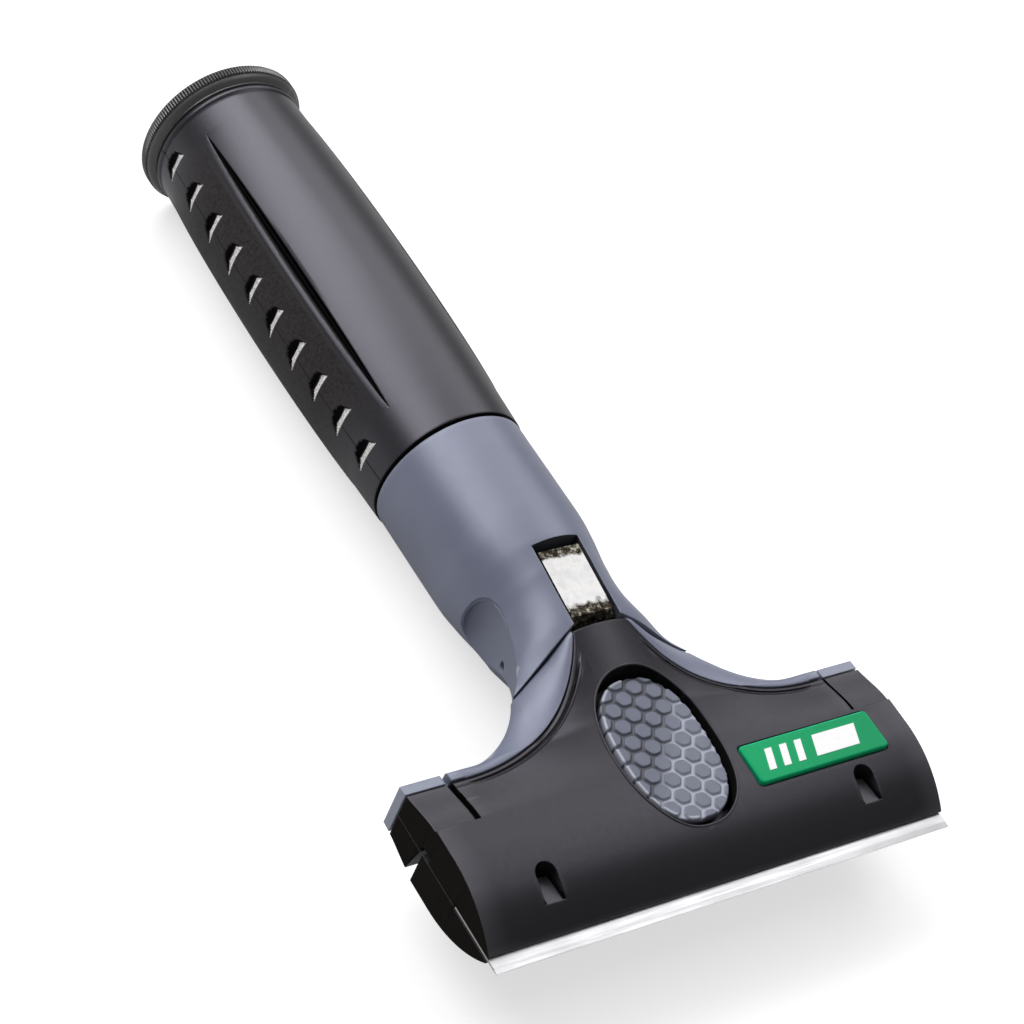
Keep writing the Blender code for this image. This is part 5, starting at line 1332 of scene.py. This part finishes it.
def skin_ring():
    """Knurled ring: smooth chamfer towards the grip, rounded ribs round the rim."""
    inner = TUBE_RADIUS + GAP
    rim = RING_RADIUS - RING_CHAMFER
    rib_start = RING_START + RIB_START
    rib_end = RING_END - RING_CHAMFER
    profile = ((inner, RING_START, 0), (RING_NECK_RADIUS, RING_START, 0),
               (RING_NECK_RADIUS, RING_START + GAP, 0), (rim - GAP, rib_start - RING_CHAMFER - GAP, 0),
               (rim, rib_start - RING_CHAMFER, 0), (rim + GAP / 2, rib_start - GAP / 2, 0),
               (RING_RADIUS - RIB_DEPTH, rib_start, 0), (RING_RADIUS, rib_start + GAP, RIB_DEPTH),
               (RING_RADIUS, rib_end, RIB_DEPTH), (rim + GAP / 2, RING_END - GAP / 2, 0),
               (rim, RING_END, 0), (inner, RING_END, 0))
    turns = evenly(0, math.tau, RIB_POINTS * RIB_COUNT)[:-1]
    valleys = [1 - abs(math.sin(turn * RIB_COUNT / 2)) ** RIB_POWER for turn in turns]
    rings = [[spot(radius - depth * valley, y, turn) for turn, valley in zip(turns, valleys)]
             for radius, y, depth in profile]
    ring = loft("end_ring_skin", rings, loop=True)
    finish_skin(ring, RING_BLACK, "handle", ["end_ring"], math.radians(40), False)
    # Painted highlight: the chamfer facing the grip gets a lighter copy of the ring's black.
    dress_faces(ring, RING_LIT, lambda place, normal: place.y < rib_start and normal.y < CHAMFER_LIMIT)


def cell_distance(x, y):
    """Distance from the nearest cell's centre, measured square to its sides."""
    column_step = CELL_PITCH * math.sqrt(3) / 2
    guess = round(x / column_step)
    found = []
    for column in (guess - 1, guess, guess + 1):
        shift = (column % 2) / 2 * CELL_PITCH
        row = round((y - BUTTON_Y - shift) / CELL_PITCH)
        dx, dy = x - column * column_step, y - (row * CELL_PITCH + BUTTON_Y + shift)
        sides = (abs(dy), abs(dx * math.sqrt(3) / 2 + dy / 2), abs(dx * math.sqrt(3) / 2 - dy / 2))
        found.append(sum(value ** CELL_SQUARE for value in sides) ** (1 / CELL_SQUARE))
    return min(found)


def pad_height(y):
    """The pad slopes: sunk in the cover at the front, proud of it at the rear."""
    share = (y - (BUTTON_Y - PAD_HALF_LENGTH)) / (2 * PAD_HALF_LENGTH)
    return PAD_FRONT_HEIGHT + (PAD_REAR_HEIGHT - PAD_FRONT_HEIGHT) * share


def skin_pad():
    """Pad with its raised cells; its values tell the grooves, the painted light across it and the painted
    highlight on its left rim.
    """
    outline = oval(PAD_HALF_WIDTH, PAD_HALF_LENGTH, PAD_POWER, PAD_SPOKES)
    rings = [[(x, y, PAD_BOTTOM) for x, y in outline]]
    grooves, lit_rims, wears = ([0.0] * PAD_SPOKES for _ in range(3))
    for r in range(PAD_RINGS, 0, -1):
        share = r / PAD_RINGS
        ring = []
        for edge_x, edge_y in outline:
            x, along = edge_x * share, (edge_y - BUTTON_Y) * share
            y = BUTTON_Y + along
            inward = (1 - share) * math.hypot(edge_x, edge_y - BUTTON_Y)
            far = cell_distance((x - CELL_SHIFT_X) / CELL_STRETCH, y - CELL_SHIFT_Y)
            cell = smooth((CELL_PITCH / 2 - far - CELL_FLAT) / CELL_FALL)
            height = pad_height(y) - CELL_DEEP * (1 - cell)
            ring.append((x, y, height - PAD_EDGE * rounding(max(0, 1 - inward / PAD_EDGE))))
            grooves.append(1 - cell)
            # Painted highlight on the cells along the left rim.
            lit_rims.append(cell * smooth((PAD_LIP - inward) / PAD_EDGE) * smooth(-x / PAD_LIP))
            # Painted light: lit towards the front right, shaded towards the rear left.
            pad_light = PAD_LIGHT_FROM + x * PAD_LIGHT_ACROSS - along * PAD_LIGHT_ALONG
            wears.append(smooth(pad_light / PAD_LIGHT_REACH))
        rings.append(ring)
    pad = loft("button_pad_skin", rings)
    paint(pad, groove=grooves, rim=lit_rims, wear=wears)
    finish_skin(pad, PAD_GREY, "button", ["button_pad"], math.radians(60), False)


def skin_badge():
    top = badge_height()

    def ring(inset, z):
        points = rounded_rectangle((BADGE_CENTRE_X, BADGE_CENTRE_Y), BADGE_HALF_LENGTH - inset,
                                   BADGE_HALF_WIDTH - inset, BADGE_CORNER - inset, BADGE_CORNER_STEPS)
        return [(x, y, z) for x, y in points]

    rings = [ring(0, top - BADGE_THICKNESS)]
    rings += [ring(BADGE_BEVEL * (1 - math.cos(turn)), top - BADGE_BEVEL + BADGE_BEVEL * math.sin(turn))
              for turn in evenly(0, math.pi / 2, RIM_ROWS)]
    finish_skin(loft("badge_skin", rings), BADGE_GREEN, "handle", ["badge_plate"])
    low, high = BADGE_CENTRE_Y - BAR_HALF_HEIGHT, BADGE_CENTRE_Y + BAR_HALF_HEIGHT
    for number, (start, width) in enumerate(BADGE_BARS):
        left = BADGE_CENTRE_X - BADGE_HALF_LENGTH + start
        right = left + width
        outline = ((left, low), (right, low), (right + BAR_SLANT, high), (left + BAR_SLANT, high))
        bar = flat_solid(f"badge_bar_{number}", outline, top - GAP, top + BAR_RISE)
        finish_skin(bar, WHITE, "handle", [], weighted=False)


def skin_spring(name):
    """Copy of a coil spring, attached to the handle."""
    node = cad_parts[name]
    mesh = node.data.copy()
    mesh.transform(node.matrix_world)
    spring = add_object(name + "_skin", mesh)
    mesh.materials.clear()
    mesh.materials.append(PIN_STEEL)
    mesh.shade_smooth()
    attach(spring, "handle")
    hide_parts(name)
    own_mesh(spring)


def skin_springs():
    skin_spring("button_spring")
    for side, _ in SIDES:
        skin_spring("jaw_spring_" + side)


# Finishes


class Wiring:
    """Small helper for wiring a node tree."""

    def __init__(self, tree):
        self.tree = tree

    def feed(self, socket, value):
        """Wire another node's output to a socket, or give it a plain value."""
        if isinstance(value, bpy.types.NodeSocket):
            self.tree.links.new(value, socket)
        else:
            socket.default_value = (*value, 1) if socket.type == "RGBA" else value

    def node(self, kind, inputs=None, **settings):
        made = self.tree.nodes.new(kind)
        for key, value in settings.items():
            setattr(made, key, value)
        for key, value in (inputs or {}).items():
            self.feed(made.inputs[key], value)
        return made

    def calculate(self, operation, first, second):
        return self.node("ShaderNodeMath", {0: first, 1: second}, operation=operation).outputs[0]

    def range(self, source, low, high, start=0.0, end=1.0):
        inputs = {"Value": source, "From Min": start, "From Max": end, "To Min": low, "To Max": high}
        return self.node("ShaderNodeMapRange", inputs).outputs["Result"]


class Finish(Wiring):
    """Procedural material, wired step by step."""

    def __init__(self, name):
        self.material = bpy.data.materials.new(name)
        self.material.use_nodes = True
        super().__init__(self.material.node_tree)
        self.shader = self.tree.nodes["Principled BSDF"]
        self.where = self.node("ShaderNodeTexCoord").outputs

    def surface(self, **inputs):
        """Set the shader's inputs; a low line in a name stands for a blank."""
        for key, value in inputs.items():
            self.feed(self.shader.inputs[key.replace("_", " ")], value)

    def painted(self, name):
        """Value that a skin carries at its points."""
        return self.node("ShaderNodeAttribute", attribute_name=name).outputs["Fac"]

    def noise(self, scale, detail=2.0, stretch=(1, 1, 1), roughness=0.5):
        mapping = self.node("ShaderNodeMapping", {"Vector": self.where["Object"], "Scale": stretch})
        inputs = {"Vector": mapping.outputs["Vector"], "Scale": scale, "Detail": detail,
                  "Roughness": roughness}
        return self.node("ShaderNodeTexNoise", inputs).outputs["Fac"]

    def ramp(self, source, *stops):
        ramp = self.node("ShaderNodeValToRGB", {"Fac": source})
        bands = ramp.color_ramp.elements
        bands[0].position, bands[0].color = stops[0][0], (*stops[0][1], 1)
        bands[1].position, bands[1].color = stops[-1][0], (*stops[-1][1], 1)
        for place, colour in stops[1:-1]:
            bands.new(place).color = (*colour, 1)
        return ramp.outputs["Color"]

    def mix(self, factor, a, b):
        return self.node("ShaderNodeMix", {0: factor, 6: a, 7: b}, data_type="RGBA").outputs[2]

    def combined(self, first, second, share, operation="MAXIMUM"):
        """Join one value with a share of a second one."""
        return self.calculate(operation, first, self.calculate("MULTIPLY", second, share))

    def bump(self, source, strength, distance, **below):
        inputs = {"Strength": strength, "Distance": distance, "Height": source, **below}
        return self.node("ShaderNodeBump", inputs).outputs["Normal"]

    def rounded(self, radius):
        return self.node("ShaderNodeBevel", {"Radius": radius}, samples=BEVEL_SAMPLES).outputs["Normal"]


BEVEL_SAMPLES = 4
CLOUD_SCALE = 38
SPECK_SCALE = 900
WAVE_SCALE = 160
WAVE_HEIGHT = 0.0003
WORN_EDGE = (0.52, 0.60)
MIDDLE = (0.3, 0.7)
# Painted shade on the strip: how far its edge wanders, where it starts and ends, and how soft its edge is
SHADE_WANDER = 0.12
SHADE_FRONT = 0.55
SHADE_REAR = 0.975
SHADE_EDGE = 0.03
NONE = (0, 0, 0)
ALL = (1, 1, 1)
VIOLET = (0.87, 0.85, 1.0)
BLUISH = (0.82, 0.86, 1.0)


def scaled(colour, share):
    return tuple(value * share for value in colour)


def moulded(name, colour, tint, roughness, grain=5200, grain_depth=0.00002, edge=0.00025,
            shine=0.5, sheen_tint=ALL, wave=0.12, vary=0.065):
    """Moulded plastic: fine grain, faint tone changes, rounded edges scuffed paler."""
    made = Finish(name)
    wear = made.range(made.node("ShaderNodeNewGeometry").outputs["Pointiness"], 0, 1, *WORN_EDGE)
    base = made.ramp(made.noise(CLOUD_SCALE, 3), (0.35, scaled(colour, 0.9)), (0.65, scaled(colour, 1.1)))
    made.colour = made.mix(wear, base, tint)
    made.rough = made.range(made.noise(SPECK_SCALE, 3), roughness - vary, roughness + vary, *MIDDLE)
    normal = made.bump(made.noise(grain, 2), 0.35, grain_depth, Normal=made.rounded(edge))
    normal = made.bump(made.noise(WAVE_SCALE, 2), wave, WAVE_HEIGHT, Normal=normal)
    made.surface(Base_Color=made.colour, Roughness=made.rough, Normal=normal, Specular_IOR_Level=shine,
                 Specular_Tint=sheen_tint)
    return made


def marked_grip():
    """Grip rubber: matt side panels, painted shade in the creases, notch walls and joint, painted
    highlights on the notch facets.
    """
    made = moulded("grip_finish", (0.0085, 0.0075, 0.008), (0.06, 0.056, 0.06), 0.36, edge=0.0001,
                   shine=0.85, sheen_tint=VIOLET, wave=0.0, vary=0.012)
    mark = made.painted("mark")
    panel = made.painted("panel")
    # Dark where the mark is below zero: painted shade in the creases, notch walls and joint, and a darker
    # parting line.
    dark = made.range(mark, 0, 1, 0, -1)
    light = made.range(mark, 0, 1, 0.4, 1)
    # Painted highlight on the notches' facets, where the mark is above zero.
    lit_facet = made.ramp(made.noise(2400, 3), (0.36, (0.4, 0.39, 0.38)), (0.58, (0.88, 0.86, 0.84)))
    grained = made.ramp(made.noise(1500, 4, roughness=0.7), (0.36, (0.015, 0.013, 0.012)),
                        (0.64, (0.042, 0.037, 0.034)))
    colour = made.mix(made.range(panel, 0, 0.8), made.colour, grained)
    colour = made.mix(light, made.mix(dark, colour, (0.0012, 0.001, 0.001)), lit_facet)
    shine = made.range(made.combined(dark, panel, 0.75), 0.75, 0.03)
    rough = made.combined(made.rough, panel, 0.16, "ADD")
    made.surface(Base_Color=colour, Specular_IOR_Level=shine, Roughness=rough)
    return made


def rubber_pad():
    """Grey rubber with painted light and shade: shaded at the rear left and lit at the front right, grooves
    most of all; a painted highlight on the left rim.
    """
    made = Finish("pad_rubber_finish")
    # Painted light and shade over the pad, with some random tone; the grooves go from dark to pale with it.
    pad_light = made.combined(made.painted("wear"), made.noise(120, 3), 0.25, "ADD")
    base = made.ramp(pad_light, (0.05, (0.12, 0.132, 0.185)), (1.0, (0.155, 0.168, 0.225)))
    line = made.ramp(pad_light, (0.35, (0.045, 0.048, 0.065)), (0.85, (0.36, 0.38, 0.46)))
    colour = made.mix(made.painted("groove"), base, line)
    # Painted highlight on the left rim.
    colour = made.mix(made.painted("rim"), colour, (0.42, 0.44, 0.52))
    made.surface(Base_Color=colour, Roughness=made.range(made.noise(1500, 2), 0.38, 0.52, *MIDDLE),
                 Normal=made.bump(made.noise(4000, 2), 0.3, 0.00002))
    return made


def steel(name, colour, roughness, stretch):
    """Ground steel with fine lines along one direction."""
    made = Finish(name)
    lines = made.noise(2600, 3, stretch)
    base = made.ramp(made.noise(90, 3), (0.3, scaled(colour, 0.82)), (0.7, colour))
    made.surface(Base_Color=base, Roughness=made.range(lines, roughness - 0.07, roughness + 0.1, *MIDDLE),
                 Normal=made.bump(lines, 0.15, 0.00001), Metallic=1)
    return made


def shaded_strip():
    """Bright strip with painted shade, dark and speckled, where it dips under its neighbours."""
    made = Finish("strip_shade_finish")
    spot_noise = made.noise(1100, 4, roughness=0.7)
    blot = made.noise(500, 3)
    split = made.node("ShaderNodeSeparateXYZ", {0: made.where["Generated"]})
    along = made.combined(split.outputs["Y"], blot, SHADE_WANDER, "ADD")
    # Painted shade: dark and speckled towards both ends, bright between.
    unshaded = made.ramp(along, (SHADE_FRONT, NONE), (SHADE_FRONT + SHADE_EDGE, ALL),
                      (SHADE_REAR, ALL), (SHADE_REAR + SHADE_EDGE, NONE))
    dark = made.ramp(spot_noise, (0.42, (0.010, 0.008, 0.005)), (0.54, (0.045, 0.04, 0.03)),
                     (0.66, (0.26, 0.245, 0.21)))
    bright = made.ramp(blot, (0.35, (0.36, 0.355, 0.36)), (0.6, (0.46, 0.455, 0.45)))
    made.surface(Base_Color=made.mix(unshaded, dark, bright), Roughness=made.range(blot, 0.16, 0.30, *MIDDLE),
                 Normal=made.bump(blot, 0.3, 0.00004), Metallic=1)
    return made


BLUE_GREY = moulded("blue_grey_finish", (0.160, 0.173, 0.240), (0.30, 0.32, 0.39), 0.38, edge=0.0004,
                    shine=0.85, sheen_tint=BLUISH, wave=0.03, vary=0.03).material
# Painted shade: a darker, duller copy of the black plastic for the head's flat outer ends.
END_SHADE = moulded("end_shade_finish", (0.005, 0.0045, 0.004), (0.012, 0.011, 0.01), 0.7, shine=0.02).material
# Painted light: a much lighter copy of the black plastic for the ramps' slopes.
RAMP_LIGHT = moulded("ramp_light_finish", (0.085, 0.083, 0.09), (0.14, 0.135, 0.14), 0.5, shine=0.6).material
# Painted shade: near-black for the walls of the button's hole and its collar.
SHADE = moulded("hole_shade_finish", (0.002, 0.0018, 0.002), (0.01, 0.01, 0.01), 0.7, edge=0.0001,
                shine=0.1).material
# Painted shade: a dark copy of the blue-grey for the walls of the neck's window.
WINDOW_SHADE = moulded("window_shade_finish", (0.03, 0.032, 0.04), (0.08, 0.085, 0.1), 0.6, edge=0.0001,
                 shine=0.2).material
BLACK = moulded("black_finish", (0.009, 0.008, 0.009), (0.05, 0.047, 0.052), 0.36, grain_depth=0.00003,
                sheen_tint=VIOLET, wave=0.03, vary=0.03).material
GRIP_BLACK = marked_grip().material
RING_BLACK = moulded("ring_finish", (0.013, 0.012, 0.013), (0.12, 0.115, 0.12), 0.36, edge=0.00005,
                     shine=0.9).material
# Painted highlight: a lighter copy of the ring's black for its chamfer.
RING_LIT = moulded("ring_lit_edge_finish", (0.045, 0.043, 0.045), (0.1, 0.095, 0.1), 0.4, edge=0.0001,
                   shine=0.9).material
PAD_GREY = rubber_pad().material
BADGE_GREEN = moulded("badge_finish", (0.0, 0.33, 0.12), (0.02, 0.45, 0.22), 0.25, grain_depth=0.000004,
                      edge=0.0001, shine=0.1, wave=0.02).material
WHITE = moulded("badge_mark_finish", (0.8, 0.82, 0.8), (0.9, 0.9, 0.9), 0.3, edge=0.00005).material
BLADE_STEEL = steel("blade_finish", (0.575, 0.575, 0.59), 0.35, (0.03, 1, 1)).material
STRIP_STEEL = shaded_strip().material
PIN_STEEL = steel("pin_finish", (0.55, 0.55, 0.56), 0.3, ALL).material

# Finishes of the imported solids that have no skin
NODE_FINISHES = {"blade": BLADE_STEEL, "leaf_spring": STRIP_STEEL, "button_stem": BLACK}
PINS = ("leaf_rivet", "tenon_pin", "hinge_pin_left", "hinge_pin_right", "cover_screw_left",
        "cover_screw_right")
NODE_FINISHES.update({name: PIN_STEEL for name in PINS})


def dress_nodes():
    for name, finish in NODE_FINISHES.items():
        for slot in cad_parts[name].material_slots:
            slot.material = finish


# Room


def build_floor():
    bpy.ops.mesh.primitive_plane_add(size=6)
    floor = bpy.context.object
    floor.name = "floor"
    made = Finish("floor_finish")
    seen = made.node("ShaderNodeLightPath").outputs["Is Camera Ray"]
    made.surface(Base_Color=(0.6, 0.6, 0.6), Roughness=0.9, Emission_Color=ALL,
                 Emission_Strength=made.calculate("MULTIPLY", seen, FLOOR_LIFT))
    floor.data.materials.append(made.material)


def build_world():
    """White to the camera, dimmer as a light."""
    world = bpy.data.worlds.new("studio")
    bpy.context.scene.world = world
    world.use_nodes = True
    made = Wiring(world.node_tree)
    rays = made.node("ShaderNodeLightPath").outputs
    seen = made.calculate("MAXIMUM", rays["Is Camera Ray"], rays["Is Transmission Ray"])
    back = world.node_tree.nodes["Background"]
    made.feed(back.inputs["Color"], ALL)
    made.feed(back.inputs["Strength"], made.range(seen, ROOM_LIGHT, 1.0))


def area_light(name, place, target, size, power, long_size=None):
    data = bpy.data.lights.new(name, "AREA")
    data.energy = power
    data.shape = "RECTANGLE"
    data.size = size
    data.size_y = long_size or size
    lamp = add_object(name, data)
    lamp.location = place
    lamp.rotation_euler = (Vector(target) - Vector(place)).to_track_quat("-Z", "Y").to_euler()


def build_lights():
    area_light("key_light", (-0.26, 0.58, 0.76), (0, 0, 0.02), 1.2, 9.0, 0.5)
    area_light("right_light", (0.61, 0.54, 0.75), (0, 0, 0.02), 0.7, 3.1)
    area_light("near_light", (0.20, -0.07, 0.37), (-0.03, -0.09, 0.02), 0.2, 0.25)


def build_camera():
    data = bpy.data.cameras.new("photo_camera")
    data.sensor_width = SENSOR_WIDTH
    data.lens = FOCAL_PIXELS / IMAGE_WIDTH * SENSOR_WIDTH
    data.clip_start = 0.01
    data.clip_end = 20
    camera = add_object("photo_camera", data)
    right, down, forward = (Vector(v).normalized() for v in (CAMERA_RIGHT, CAMERA_DOWN, CAMERA_FORWARD))
    turn = Matrix((right, -down, -forward)).transposed()
    camera.matrix_world = Matrix.Translation(Vector(CAMERA_PLACE) + DATUM) @ turn.to_4x4()
    bpy.context.scene.camera = camera


skin_upper_shell()
skin_hole()
skin_lower_cover()
skin_jaw()
skin_frame()
skin_neck()
skin_grip()
skin_ring()
skin_springs()
skin_pad()
skin_badge()
dress_nodes()
build_floor()
build_world()
build_lights()
build_camera()
bpy.context.scene.view_settings.view_transform = "Standard"
